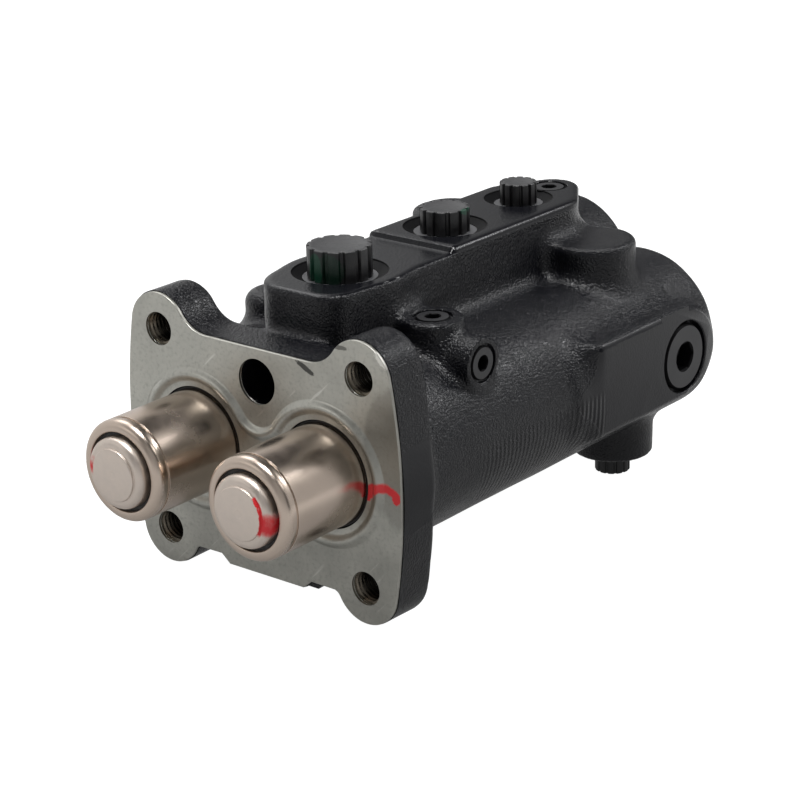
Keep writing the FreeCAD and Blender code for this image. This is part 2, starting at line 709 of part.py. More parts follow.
def push_button(x):
    """Button with a rounded shoulder, a flat raised disc, a socket for the stem and a clip groove."""
    shoulder = disc(x, BUTTON_R, BUTTON_SHOULDER_Y, BUTTON_TAIL_Y)
    shoulder = soften(shoulder, BUTTON_SHOULDER_EDGE_R, "Y", BUTTON_SHOULDER_Y)
    face_y = SLEEVE_FRONT_Y - BUTTON_TRAVEL
    raised = disc(x, DISC_R, face_y, BUTTON_TAIL_Y)
    raised = bevel(raised, DISC_EDGE, "Y", face_y)
    front, rear = circlip_span()
    groove = ring(x, BUTTON_R - CIRCLIP_DEPTH, BUTTON_R, front - CIRCLIP_PLAY, rear + CIRCLIP_PLAY)
    socket = disc(x, STEM_R + REST_GAP, BUTTON_TAIL_Y - BUTTON_SOCKET_DEPTH, BUTTON_TAIL_Y)
    return shoulder.fuse(raised).cut([groove, socket]).removeSplitter()


def circlip(x):
    """Open ring in the button's groove."""
    front, rear = circlip_span()
    clip = ring(x, BUTTON_R - CIRCLIP_DEPTH + RUNNING, CIRCLIP_OUT_R, front, rear)
    gap = math.radians(CIRCLIP_GAP_DEG) / 2
    reach = 2 * CIRCLIP_OUT_R
    left = V(x - reach * math.sin(gap), front, -reach * math.cos(gap))
    right = V(x + reach * math.sin(gap), front, -reach * math.cos(gap))
    wedge = Part.Face(Part.makePolygon([V(x, front, 0), left, right, V(x, front, 0)]))
    return clip.cut(wedge.extrude(V(0, CIRCLIP_T, 0)))


def land_front():
    """Front face of the spool's first land at rest, just behind the bore washer."""
    return PISTON_BORE_END_Y + REST_GAP


def spool_rear():
    """Rear face of the spool at rest."""
    return land_front() + LAND_COUNT * LAND_L + (LAND_COUNT - 1) * LAND_RECESS_L


def control_spool(x):
    """Spool with a stem, a shouldered shank and a row of lands."""
    shoulder_y = SPOOL_COLLAR_Y + SPOOL_COLLAR_T
    spool = disc(x, STEM_R, STEM_FRONT_Y, shoulder_y)
    spool = spool.fuse(disc(x, SPOOL_SHANK_R, shoulder_y, spool_rear()))
    lands = []
    for i in range(LAND_COUNT):
        front = land_front() + i * (LAND_L + LAND_RECESS_L)
        lands.append(disc(x, SPOOL_R, front, front + LAND_L))
    return spool.fuse(lands).removeSplitter()


def circuit(name, side):
    """Every piece of one circuit, at rest."""
    x = side * BORE_X
    wiper_end = PLATE_T + WIPER_T
    seal_front, seal_rear = seal_groove()
    seal_r = PISTON_BORE_R - SEAL_GROOVE_DEPTH
    mouth_end = SLEEVE_FRONT_Y + MOUTH_DEPTH
    washer_front = PISTON_BORE_END_Y - WASHER_T
    collar_end = SPOOL_COLLAR_Y + SPOOL_COLLAR_T
    pieces = {
        "wiper_ring": ring(x, SLEEVE_R + RUNNING, GLAND_R, PLATE_T, wiper_end),
        "guide_bushing": ring(x, SLEEVE_R + RUNNING, GLAND_R, wiper_end, GLAND_END_Y),
        "piston_sleeve": piston_sleeve(x),
        "piston_seal": ring(x, seal_r, PISTON_BORE_R, seal_front, seal_rear),
        "push_button": push_button(x),
        "button_seal": ring(x, BUTTON_R + RUNNING, MOUTH_R, mouth_end - BUTTON_SEAL_T, mouth_end),
        "button_circlip": circlip(x),
        "return_spring": coil(x, RETURN_MEAN_R, RETURN_WIRE, RETURN_TURNS, collar_rear(), washer_front),
        "bore_washer": ring(x, WASHER_BORE_R, PISTON_BORE_R, washer_front, PISTON_BORE_END_Y),
        "metering_spring": coil(
            x, METERING_MEAN_R, METERING_WIRE, METERING_TURNS, BUTTON_TAIL_Y, SPOOL_COLLAR_Y
        ),
        "spool_collar": ring(x, STEM_R + RUNNING, SPOOL_COLLAR_R, SPOOL_COLLAR_Y, collar_end),
        "control_spool": control_spool(x),
        "spool_spring": coil(
            x, SPOOL_SPRING_MEAN_R, SPOOL_SPRING_WIRE, SPOOL_SPRING_TURNS, spool_rear(), SPOOL_BORE_END_Y
        ),
        "side_plug": side_plug(side),
        "brake_port_cap": brake_cap(x),
    }
    return {name + "_" + piece: shape for piece, shape in pieces.items()}


def side_plug(side):
    """The large flush plug of one rear chamber, with room for its seal under the head."""
    face = V(side * PAD_X, CHAMBER_Y, 0)
    return socket_plug(
        face, V(-side, 0, 0), SIDE_HEAD_R, SIDE_HEAD_T, SIDE_SHANK_R, SIDE_SHANK_L, SIDE_HEX_AF, SIDE_HEX_DEPTH
    )


def side_plug_seals():
    """The flat ring under each side plug's head."""
    rings = []
    for side in SIDES.values():
        start = V(side * (PAD_X - FLUSH_DROP - SIDE_HEAD_T), CHAMBER_Y, 0)
        inward = V(-side, 0, 0)
        outer = cylinder(start, inward, SIDE_HEAD_R, SIDE_SEAL_T)
        rings.append(outer.cut(cylinder(start, inward, SIDE_SEAL_IN_R, SIDE_SEAL_T)))
    return Part.makeCompound(rings)


def brake_cap(x):
    """The fluted cap in a bottom port."""
    face = V(x, CHAMBER_Y, BOTTOM_BOSS_Z)
    head_l = BOTTOM_BOSS_Z - BRAKE_CAP_END_Z
    return fluted_cap(face, V(0, 0, -1), BRAKE_CAP_R, head_l, BRAKE_PORT_THREAD_R - CAP_CLEARANCE)


def small_plugs():
    """The three small flush plugs."""
    plugs = {}
    for name, (face, inward) in small_plug_sites().items():
        head_t = SMALL_RECESS_DEPTH - FLUSH_DROP
        plugs[name] = socket_plug(
            face, inward, SMALL_HEAD_R, head_t, SMALL_SHANK_R, SMALL_SHANK_L, SMALL_HEX_AF, SMALL_HEX_DEPTH
        )
    return plugs


def seat_outer():
    """How far from the centre plane a shuttle seat ends, just short of the spool bore."""
    return BORE_X - SPOOL_R - RUNNING - REST_GAP


def shuttle_half_l():
    """Half the shuttle's length, with its travel and a gap before each seat."""
    return seat_outer() - SHUTTLE_SEAT_L - REST_GAP - SHUTTLE_TRAVEL


def shuttle():
    """The waisted shuttle in the wall between the rear chambers."""
    half_l = shuttle_half_l()
    waist_start = V(SHUTTLE_END_L - half_l, CHAMBER_Y, 0)
    waist_l = 2 * (half_l - SHUTTLE_END_L)
    body = cylinder(V(-half_l, CHAMBER_Y, 0), ALONG_X, SHUTTLE_R, 2 * half_l)
    waist = cylinder(waist_start, ALONG_X, SHUTTLE_R, waist_l)
    core = cylinder(waist_start, ALONG_X, SHUTTLE_WAIST_R, waist_l)
    return body.cut(waist).fuse(core).removeSplitter()


def shuttle_seats():
    """The seat ring beyond each end of the shuttle's travel."""
    seats = []
    for side in SIDES.values():
        start = V(side * seat_outer(), CHAMBER_Y, 0)
        inward = V(-side, 0, 0)
        seat = cylinder(start, inward, SHUTTLE_R, SHUTTLE_SEAT_L)
        seats.append(seat.cut(cylinder(start, inward, SHUTTLE_SEAT_BORE_R, SHUTTLE_SEAT_L)))
    return Part.makeCompound(seats)


def assembly():
    """Every node of the valve, by name."""
    nodes = {
        "valve_body": valve_body(),
        "face_plate": face_plate(),
        "supply_port_cap": ridge_cap(SUPPLY_Y, RIDGE_LOW_Z, SUPPLY_CAP_TOP_Z, SUPPLY_CAP_R, SUPPLY_THREAD_R),
        "outlet_port_cap": ridge_cap(OUTLET_Y, RIDGE_HIGH_Z, OUTLET_CAP_TOP_Z, OUTLET_CAP_R, OUTLET_THREAD_R),
        "return_port_cap": ridge_cap(RETURN_Y, RIDGE_HIGH_Z, RETURN_CAP_TOP_Z, RETURN_CAP_R, RETURN_THREAD_R),
        "side_plug_seals": side_plug_seals(),
        "equalising_shuttle": shuttle(),
        "shuttle_seats": shuttle_seats(),
    }
    nodes.update(small_plugs())
    for name, side in SIDES.items():
        nodes.update(circuit(name, side))
    return nodes


def main():
    os.makedirs("parts", exist_ok=True)
    for name, shape in assembly().items():
        shape.exportStep("parts/" + name + ".step")


main()
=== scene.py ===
"""The looks of a dual brake valve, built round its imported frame.

The casting is a skin worked out from a distance field and then machined. The other pieces are
profiles turned round their axes, swept along a path, or spread between outlines. Sizes are in
millimetres in the part's own frame, and become metres when a mesh is made.
"""

import logging
import math
from collections.abc import Callable
from dataclasses import dataclass
from enum import Enum
from functools import reduce

import bpy
import numpy as np
from mathutils import Matrix, Vector
from mathutils.geometry import delaunay_2d_cdt


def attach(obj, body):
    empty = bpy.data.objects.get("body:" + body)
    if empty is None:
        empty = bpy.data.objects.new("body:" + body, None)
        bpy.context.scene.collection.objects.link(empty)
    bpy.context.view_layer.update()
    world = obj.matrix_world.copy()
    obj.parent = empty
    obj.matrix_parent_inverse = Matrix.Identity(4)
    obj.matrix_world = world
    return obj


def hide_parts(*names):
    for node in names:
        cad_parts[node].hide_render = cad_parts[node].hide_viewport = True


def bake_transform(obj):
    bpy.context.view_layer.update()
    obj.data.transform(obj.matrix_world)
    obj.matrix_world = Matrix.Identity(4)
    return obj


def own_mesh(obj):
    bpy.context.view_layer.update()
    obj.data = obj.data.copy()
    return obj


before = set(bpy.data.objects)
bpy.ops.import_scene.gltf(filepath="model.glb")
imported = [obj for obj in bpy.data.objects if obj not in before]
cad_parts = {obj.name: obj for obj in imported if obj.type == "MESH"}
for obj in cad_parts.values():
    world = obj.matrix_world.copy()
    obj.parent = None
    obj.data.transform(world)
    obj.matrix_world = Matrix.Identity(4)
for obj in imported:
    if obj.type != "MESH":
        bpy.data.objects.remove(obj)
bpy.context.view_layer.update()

MM = 0.001
LOG = logging.getLogger("brake_valve")

Array = np.ndarray
Object = bpy.types.Object
Material = bpy.types.Material
Tree = bpy.types.NodeTree
Node = bpy.types.Node
Socket = bpy.types.NodeSocket
Pair = tuple[float, float]
Point = tuple[float, float, float]
Colour = tuple[float, float, float]
Places = tuple[Array, Array, Array]
Row = tuple[float | Array, float]

RED = (0.72, 0.02, 0.028)
GREEN = (0.0, 0.045, 0.022)
WORN = (0.8, 0.79, 0.74)
WHITE = (1.0, 1.0, 1.0, 1.0)


class Side(Enum):
    """The two circuits, by the sign of their place along X."""

    LEFT = -1
    RIGHT = 1

    @property
    def label(self) -> str:
        """The side's name as the nodes and bodies spell it."""
        return self.name.lower()


# Meshes


@dataclass
class Shell:
    """A closed surface: its points, and blocks of polygons with the same number of corners."""

    points: Array
    polygons: list[Array]

    def volume(self) -> float:
        """Signed volume, positive where the faces point outwards: a sum of tetrahedra from the origin."""
        total = 0.0
        for block in self.polygons:
            first = self.points[block[:, 0]]
            for i in range(1, block.shape[1] - 1):
                second = self.points[block[:, i]]
                third = self.points[block[:, i + 1]]
                total += float(np.einsum("ij,ij->i", first, np.cross(second, third)).sum()) / 6
        return total

    def outwards(self) -> "Shell":
        """The same surface with its faces pointing outwards."""
        if self.volume() < 0:
            return Shell(self.points, [block[:, ::-1] for block in self.polygons])
        return self

    def mirrored(self) -> "Shell":
        """The same surface on the other side of the centre plane."""
        return Shell(self.points * np.array([-1.0, 1.0, 1.0]), self.polygons).outwards()


def merged(shells: list[Shell]) -> Shell:
    """Puts several closed surfaces into one.

    Args:
        shells: surfaces that don't touch each other.

    Returns:
        One surface that holds them all.
    """
    start = 0
    blocks: list[Array] = []
    for shell in shells:
        blocks += [block + start for block in shell.polygons]
        start += len(shell.points)
    return Shell(np.concatenate([shell.points for shell in shells]), blocks)


def welded(points: Array, quads: Array, triangles: Array | None = None) -> Shell:
    """Joins points that lie in one place and turns collapsed quads into triangles.

    Args:
        points: places, one row each.
        quads: four corner numbers a row.
        triangles: three corner numbers a row, or None.

    Returns:
        The joined surface.
    """
    _, first, back = np.unique(np.round(points, 4), axis=0, return_index=True, return_inverse=True)
    back = back.reshape(-1)
    quads = back[quads]
    same = np.stack([quads[:, i] == quads[:, (i + 1) % 4] for i in range(4)], axis=1)
    blocks = [quads[same.sum(axis=1) == 0]]
    for i in range(4):
        rows = quads[same[:, i] & (same.sum(axis=1) == 1)]
        blocks.append(np.delete(rows, i, axis=1))
    if triangles is not None:
        blocks.append(back[triangles])
    return Shell(points[first], [block for block in blocks if len(block)])


def frame_of(axis: Point) -> Array:
    """Three unit rows, the last along an axis, that make a right-handed frame."""
    along = np.array(axis, float) / np.linalg.norm(axis)
    helper = np.array([0.0, 0.0, 1.0]) if abs(along[2]) < 0.9 else np.array([1.0, 0.0, 0.0])
    across = np.cross(helper, along)
    across /= np.linalg.norm(across)
    return np.array([across, np.cross(along, across), along])


def turns(count: int) -> Array:
    """Evenly spaced angles round a full turn."""
    return np.arange(count) * (2 * math.pi / count)


def grid_quads(rows: int, columns: int, closed: bool) -> Array:
    """Quads of a grid whose columns join up, and whose rows do too if it is closed."""
    last = rows if closed else rows - 1
    i = np.arange(last)[:, None]
    j = np.arange(columns)[None, :]
    below, beside = (i + 1) % rows, (j + 1) % columns
    corners = [i * columns + j, i * columns + beside, below * columns + beside, below * columns + j]
    return np.stack([np.broadcast_to(c, (last, columns)).ravel() for c in corners], axis=1)


def turned(radii: Array, heights: Array, base: Point, axis: Point, closed: bool = False) -> Shell:
    """A surface round an axis: at each height, the radius is a function of the turn.

    Point = base + height * axis + radius * (cos(turn) * across + sin(turn) * up).

    Args:
        radii: one row for each height, one column for each turn.
        heights: distance along the axis of each row.
        base: where the axis starts.
        axis: its direction.
        closed: True where the last row joins the first, as on a ring.

    Returns:
        The closed surface.
    """
    across, up, along = frame_of(axis)
    turn = turns(radii.shape[1])
    ring = np.cos(turn)[:, None] * across + np.sin(turn)[:, None] * up
    points = np.array(base) + heights[:, None, None] * along + radii[:, :, None] * ring
    return welded(points.reshape(-1, 3), grid_quads(*radii.shape, closed)).outwards()


def rounded(corners: list[Point], steps: int = 5, closed: bool = False) -> Array:
    """A profile whose corners are arcs tangent to both runs.

    Args:
        corners: (radius, height, corner radius) of each corner.
        steps: pieces of each arc.
        closed: True where the profile returns to its start.

    Returns:
        Radius and height of each point of the profile.
    """
    spots = np.array([corner[:2] for corner in corners])
    count = len(corners)
    parts = []
    for i, (_, _, radius) in enumerate(corners):
        if radius <= 0 or (not closed and i in (0, count - 1)):
            parts.append(spots[i][None, :])
            continue
        back = spots[i - 1] - spots[i]
        ahead = spots[(i + 1) % count] - spots[i]
        back, ahead = back / np.linalg.norm(back), ahead / np.linalg.norm(ahead)
        half = math.acos(float(np.clip(back @ ahead, -1, 1))) / 2
        middle = (back + ahead) / np.linalg.norm(back + ahead)
        centre = spots[i] + middle * radius / math.sin(half)
        start = spots[i] + back * radius / math.tan(half) - centre
        end = spots[i] + ahead * radius / math.tan(half) - centre
        sweep = math.atan2(start[0] * end[1] - start[1] * end[0], float(start @ end))
        turn = math.atan2(start[1], start[0]) + sweep * np.linspace(0, 1, steps + 1)
        parts.append(centre + radius * np.stack([np.cos(turn), np.sin(turn)], axis=1))
    return np.concatenate(parts)


def lathe(corners: list[Point], base: Point, axis: Point, closed: bool = False, segments: int = 96) -> Shell:
    """A plain turned piece from its rounded profile."""
    profile = rounded(corners, closed=closed)
    radii = np.repeat(profile[:, :1], segments, axis=1)
    return turned(radii, profile[:, 1], base, axis, closed)


def prism(outline: Array, low: float, high: float) -> Shell:
    """An outline in Y and Z carried along X between two places."""
    count = len(outline)
    ends = [np.column_stack([np.full(count, x), outline]) for x in (low, high)]
    caps = np.stack([np.arange(count), np.arange(count) + count])
    return Shell(np.concatenate(ends), [grid_quads(2, count, False), caps[:1, ::-1], caps[1:]]).outwards()


def tube(path: Array, radial: Array, radius: float, sides: int = 10) -> Shell:
    """Round wire along a path: a circle in the plane across it at each point, with closed ends.

    Args:
        path: points of the wire's middle.
        radial: a direction at each point that isn't along the wire.
        radius: of the wire.
        sides: of its section.

    Returns:
        The closed surface.
    """
    tangent = np.gradient(path, axis=0)
    tangent /= np.linalg.norm(tangent, axis=1)[:, None]
    across = radial - np.einsum("ij,ij->i", radial, tangent)[:, None] * tangent
    across /= np.linalg.norm(across, axis=1)[:, None]
    up = np.cross(tangent, across)
    turn = turns(sides)[None, :, None]
    rings = path[:, None, :] + radius * (np.cos(turn) * across[:, None, :] + np.sin(turn) * up[:, None, :])
    first, last = np.repeat(path[:1], sides, axis=0), np.repeat(path[-1:], sides, axis=0)
    points = np.concatenate([first, rings.reshape(-1, 3), last])
    return welded(points, grid_quads(len(path) + 2, sides, False)).outwards()


def inside(points: Array, loops: list[Array]) -> Array:
    """Which points lie inside an odd number of loops: a ray from each crosses them an odd number of times."""
    odd = np.zeros(len(points), bool)
    for loop in loops:
        ahead = np.roll(loop, -1, axis=0)
        above = (loop[None, :, 1] > points[:, None, 1]) != (ahead[None, :, 1] > points[:, None, 1])
        rise = ahead[:, 1] - loop[:, 1]
        rise = np.where(rise == 0, 1e-12, rise)
        share = (points[:, None, 1] - loop[None, :, 1]) / rise[None, :]
        crossing = loop[None, :, 0] + share * (ahead[:, 0] - loop[:, 0])[None, :]
        odd ^= (above & (points[:, None, 0] < crossing)).sum(axis=1) % 2 == 1
    return odd


def filled(loops: list[Array]) -> tuple[Array, Array]:
    """Triangles that cover the area between loops.

    Args:
        loops: closed outlines in the plane, the outer one and the holes.

    Returns:
        The flat points and three corner numbers for each triangle.
    """
    edges, start = [], 0
    for loop in loops:
        here = np.arange(len(loop))
        edges.append(np.stack([here, (here + 1) % len(loop)], axis=1) + start)
        start += len(loop)
    flat = [Vector(p) for p in np.concatenate(loops).tolist()]
    found = delaunay_2d_cdt(flat, np.concatenate(edges).tolist(), [], 0, 1e-6)
    points = np.array([tuple(p) for p in found[0]])
    triangles = np.array([face[:3] for face in found[2]])
    return points, triangles[inside(points[triangles].mean(axis=1), loops)]


def piece(name: str, shell: Shell, sharp: float = 34.0) -> Object:
    """Makes the object of a surface, smooth except at edges that turn by more than an angle.

    Args:
        name: of the object and its mesh.
        shell: the surface in millimetres.
        sharp: smallest turn of a sharp edge, in degrees.

    Returns:
        The object, linked and at the origin.
    """
    mesh = bpy.data.meshes.new(name)
    corners = np.concatenate([block.ravel() for block in shell.polygons]).astype(np.int32)
    sizes = np.concatenate([np.full(len(block), block.shape[1]) for block in shell.polygons])
    starts = np.concatenate([[0], np.cumsum(sizes)[:-1]]).astype(np.int32)
    mesh.vertices.add(len(shell.points))
    mesh.vertices.foreach_set("co", (shell.points * MM).astype(np.float32).ravel())
    mesh.loops.add(len(corners))
    mesh.loops.foreach_set("vertex_index", corners)
    mesh.polygons.add(len(sizes))
    mesh.polygons.foreach_set("loop_start", starts)
    mesh.update(calc_edges=True)
    mesh.validate()
    shade(mesh, sharp)
    made = bpy.data.objects.new(name, mesh)
    bpy.context.scene.collection.objects.link(made)
    return made


def shade(mesh: bpy.types.Mesh, sharp: float) -> None:
    """Smooths a mesh except at edges that turn by more than an angle in degrees."""
    mesh.polygons.foreach_set("use_smooth", np.ones(len(mesh.polygons), bool))
    mesh.set_sharp_from_angle(angle=math.radians(sharp))


def face_values(mesh: bpy.types.Mesh, key: str) -> Array:
    """One vector for each face of a mesh, its center or its normal."""
    values = np.zeros(len(mesh.polygons) * 3, np.float32)
    mesh.polygons.foreach_get(key, values)
    return values.reshape(-1, 3)


def carve(target: Object, cutter: Shell) -> None:
    """Cuts a closed surface out of an object and keeps the result as its mesh.

    Args:
        target: the object that is cut.
        cutter: what is taken away.
    """
    tool = piece("cutter", cutter)
    cut = target.modifiers.new("cut", "BOOLEAN")
    cut.operation = "DIFFERENCE"
    cut.solver = "MANIFOLD"
    cut.object = tool
    evaluated = target.evaluated_get(bpy.context.evaluated_depsgraph_get())
    result = bpy.data.meshes.new_from_object(evaluated)
    target.modifiers.remove(cut)
    old = target.data
    target.data = result
    bpy.data.meshes.remove(old)
    bpy.data.objects.remove(tool)


def settle(made: Object, body: str, slot: str, material: Material, *nodes: str) -> None:
    """Gives a finished piece its body, finish and the nodes it stands for, and reports it.

    Args:
        made: the piece.
        body: the body it rides on.
        slot: the material slot's name, not used.
        material: its finish.
        nodes: the nodes that it replaces.
    """
    if not made.data.materials:
        made.data.materials.append(material)
    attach(made, body)
    if nodes:
        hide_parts(*nodes)
    LOG.info("%s rides on %s, %d faces", made.name, body, len(made.data.polygons))


# Finishes


class Wiring:
    """Adds nodes to one node tree and joins them."""

    def __init__(self, tree: Tree) -> None:
        """Keeps the tree."""
        self.tree = tree

    def feed(self, node: Node, inputs: dict) -> Node:
        """Gives each input of a node, by name or number, a value or a link.

        Args:
            node: the node.
            inputs: value or socket for each input.

        Returns:
            The node.
        """
        for key, value in inputs.items():
            if isinstance(value, Socket):
                self.tree.links.new(value, node.inputs[key])
            else:
                node.inputs[key].default_value = value
        return node

    def add(self, kind: str, inputs: dict, **settings: object) -> Node:
        """Adds a node.

        Args:
            kind: the node's type.
            inputs: value or socket for each input, by name or number.
            settings: the node's own properties.

        Returns:
            The node.
        """
        node = self.tree.nodes.new(kind)
        for key, value in settings.items():
            setattr(node, key, value)
        return self.feed(node, inputs)

    def effect(self, group: Tree, *values: object) -> Socket:
        """Places a shared effect with its own values."""
        return self.add("ShaderNodeGroup", dict(enumerate(values)), node_tree=group).outputs[0]

    def place(self) -> Socket:
        """The piece's own coordinates."""
        return self.add("ShaderNodeTexCoord", {}).outputs["Object"]

    def seen(self) -> Socket:
        """1 for what the camera sees itself, 0 for light and reflections."""
        return self.add("ShaderNodeLightPath", {}).outputs["Is Camera Ray"]

    def mapped(self, vector: Socket, centre: Point, size: Point, turn: Point = (0, 0, 0)) -> Socket:
        """Coordinates from a centre in millimetres, in units of a size."""
        inputs = {
            "Vector": vector,
            "Location": [c * MM for c in centre],
            "Rotation": [math.radians(t) for t in turn],
            "Scale": [s * MM for s in size],
        }
        return self.add("ShaderNodeMapping", inputs, vector_type="TEXTURE").outputs[0]

    def noise(self, vector: Socket, scale: object, detail: float = 2.0, rough: float = 0.5) -> Socket:
        """Soft noise between 0 and 1."""
        inputs = {"Vector": vector, "Scale": scale, "Detail": detail, "Roughness": rough}
        return self.add("ShaderNodeTexNoise", inputs).outputs[0]

    def maths(self, operation: str, *values: object) -> Socket:
        """One step of arithmetic."""
        return self.add("ShaderNodeMath", dict(enumerate(values)), operation=operation).outputs[0]

    def times(self, *values: object) -> Socket:
        """The product of all the values."""
        return reduce(lambda first, second: self.maths("MULTIPLY", first, second), values)

    def plus(self, first: object, second: object) -> Socket:
        """The sum of two values."""
        return self.maths("ADD", first, second)

    def less(self, first: object, second: object) -> Socket:
        """The first value less the second."""
        return self.maths("SUBTRACT", first, second)

    def vector_maths(self, operation: str, *vectors: object) -> Socket:
        """A number worked out from one or two vectors."""
        return self.add("ShaderNodeVectorMath", dict(enumerate(vectors)), operation=operation).outputs["Value"]

    def split(self, vector: Socket) -> list[Socket]:
        """A vector's three parts."""
        return list(self.add("ShaderNodeSeparateXYZ", {0: vector}).outputs)

    def joined(self, x: object, y: object, z: object) -> Socket:
        """A vector from three parts."""
        return self.add("ShaderNodeCombineXYZ", {0: x, 1: y, 2: z}).outputs[0]

    def radius(self, x: Socket, z: Socket) -> Socket:
        """Distance from the Y axis: the root of x squared plus z squared."""
        return self.maths("SQRT", self.plus(self.times(x, x), self.times(z, z)))

    def spread(self, value: object, low: float, high: float, to_low: float = 0.0, to_high: float = 1.0) -> Socket:
        """A value carried smoothly from one range to another, and held at its ends."""
        inputs = {"Value": value, "From Min": low, "From Max": high, "To Min": to_low, "To Max": to_high}
        return self.add("ShaderNodeMapRange", inputs, interpolation_type="SMOOTHSTEP").outputs[0]

    def rise(self, value: object, span: Pair) -> Socket:
        """0 to 1 over a span in millimetres."""
        return self.spread(value, span[0] * MM, span[1] * MM)

    def fall(self, value: object, span: Pair) -> Socket:
        """1 to 0 over a span in millimetres."""
        return self.spread(value, span[0] * MM, span[1] * MM, 1.0, 0.0)

    def blend(self, share: object, first: object, second: object) -> Socket:
        """A number between two."""
        return self.add("ShaderNodeMix", {0: share, 2: first, 3: second}, data_type="FLOAT").outputs[0]

    def tint(self, share: object, first: object, second: object) -> Socket:
        """A colour between two."""
        inputs = {0: share, 6: opaque(first), 7: opaque(second)}
        return self.add("ShaderNodeMix", inputs, data_type="RGBA").outputs[2]

    def bump(self, height: Socket, depth: float) -> Socket:
        """A normal from a height, with its depth in millimetres."""
        return self.add("ShaderNodeBump", {"Height": height, "Distance": depth * MM, "Strength": 1.0}).outputs[0]


def opaque(value: object) -> object:
    """A colour with its fourth part, or a socket as it is."""
    return value if isinstance(value, Socket) else (*value, 1.0)


def scaled(colour: Colour, share: float) -> Colour:
    """A colour made darker or lighter."""
    return tuple(part * share for part in colour)


def cast_grain(w: Wiring, vector: Socket, scale: Socket, lump: Socket) -> Socket:
    """Orange peel of paint over a sand casting: fine bumps on broader lumps."""
    fine = w.spread(w.noise(vector, scale, 1.5, 0.45), 0.3, 0.7)
    return w.plus(fine, w.times(w.noise(vector, w.times(scale, 0.31), 1.0), lump))


def slow_mottle(w: Wiring, vector: Socket, scale: Socket, contrast: Socket) -> Socket:
    """Slow, cloudy change over the surface, round 0.5."""
    return w.plus(w.times(w.less(w.noise(vector, scale, 5.0, 0.6), 0.5), contrast), 0.5)


def turning_marks(w: Wiring, vector: Socket, rings: Socket, depths: Socket) -> Socket:
    """Fine rings left by turning, round the Y axis of the vector: noise over radius and depth only."""
    x, y, z = w.split(vector)
    return w.noise(w.joined(w.times(w.radius(x, z), rings), w.times(y, depths), 0.0), 1.0, 3.0, 0.6)


def paint_dab(w: Wiring, vector: Socket, ragged: Socket, scale: Socket) -> Socket:
    """A hand-painted dab: inside a unit ball whose edge is ragged and streaked."""
    edge = w.less(w.noise(vector, scale, 4.0, 0.65), 0.5)
    return w.spread(w.plus(w.vector_maths("LENGTH", vector), w.times(edge, ragged)), 0.85, 1.0, 1.0, 0.0)


def fine_scuff(w: Wiring, vector: Socket, scale: Socket, stretch: Socket) -> Socket:
    """Short light scratches: the thin crests of a stretched noise."""
    x, y, z = w.split(vector)
    line = w.noise(w.joined(w.times(w.plus(x, z), stretch), w.less(x, z), y), scale, 2.0)
    return w.spread(line, 0.66, 0.74)


def new_effect(make: Callable[..., Socket], *labels: str) -> Tree:
    """Builds a shared effect that works on a vector and a few numbers.

    Args:
        make: works out the value that the effect puts out, from its wiring and each input's socket.
        labels: names of the numbers.

    Returns:
        The effect.
    """
    tree = bpy.data.node_groups.new(make.__name__, "ShaderNodeTree")
    tree.interface.new_socket(name="Vector", in_out="INPUT", socket_type="NodeSocketVector")
    for label in labels:
        tree.interface.new_socket(name=label, in_out="INPUT", socket_type="NodeSocketFloat")
    tree.interface.new_socket(name="Value", in_out="OUTPUT", socket_type="NodeSocketFloat")
    given = tree.nodes.new("NodeGroupInput").outputs
    w = Wiring(tree)
    value = make(w, *(given[label] for label in ("Vector", *labels)))
    w.feed(tree.nodes.new("NodeGroupOutput"), {"Value": value})
    return tree


class Effects:
    """Effects that several finishes share, built once."""

    def __init__(self) -> None:
        """Builds every effect."""
        self.grain = new_effect(cast_grain, "Scale", "Lump")
        self.mottle = new_effect(slow_mottle, "Scale", "Contrast")
        self.turning = new_effect(turning_marks, "Rings", "Depths")
        self.dab = new_effect(paint_dab, "Ragged", "Scale")
        self.scuff = new_effect(fine_scuff, "Scale", "Stretch")


def new_material(name: str, metallic: float = 0.0, ior: float = 1.5) -> tuple[Material, Wiring, Node]:
    """Starts a finish with its shader.

    Args:
        name: of the material.
        metallic: how metallic it is all over.
        ior: its index of refraction.

    Returns:
        The material, its wiring and its shader node.
    """
    made = bpy.data.materials.new(name)
    made.use_nodes = True
    w = Wiring(made.node_tree)
    return made, w, w.feed(made.node_tree.nodes["Principled BSDF"], {"Metallic": metallic, "IOR": ior})


@dataclass(frozen=True)
class Finish:
    """What every finish has: a colour and a roughness that drift with a slow cloud.

    The cloud has a scale and a contrast. The shades are the darkest and the lightest share of the colour, the drift is
    how far the roughness falls and rises, and the span is the part of the cloud that it follows.
    """

    name: str
    colour: Colour
    roughness: float
    cloud: Pair = (90.0, 1.6)
    shades: Pair = (0.88, 1.12)
    drift: Pair = (0.06, 0.06)
    span: Pair = (0.2, 0.8)
    metallic: float = 0.0
    ior: float = 1.5


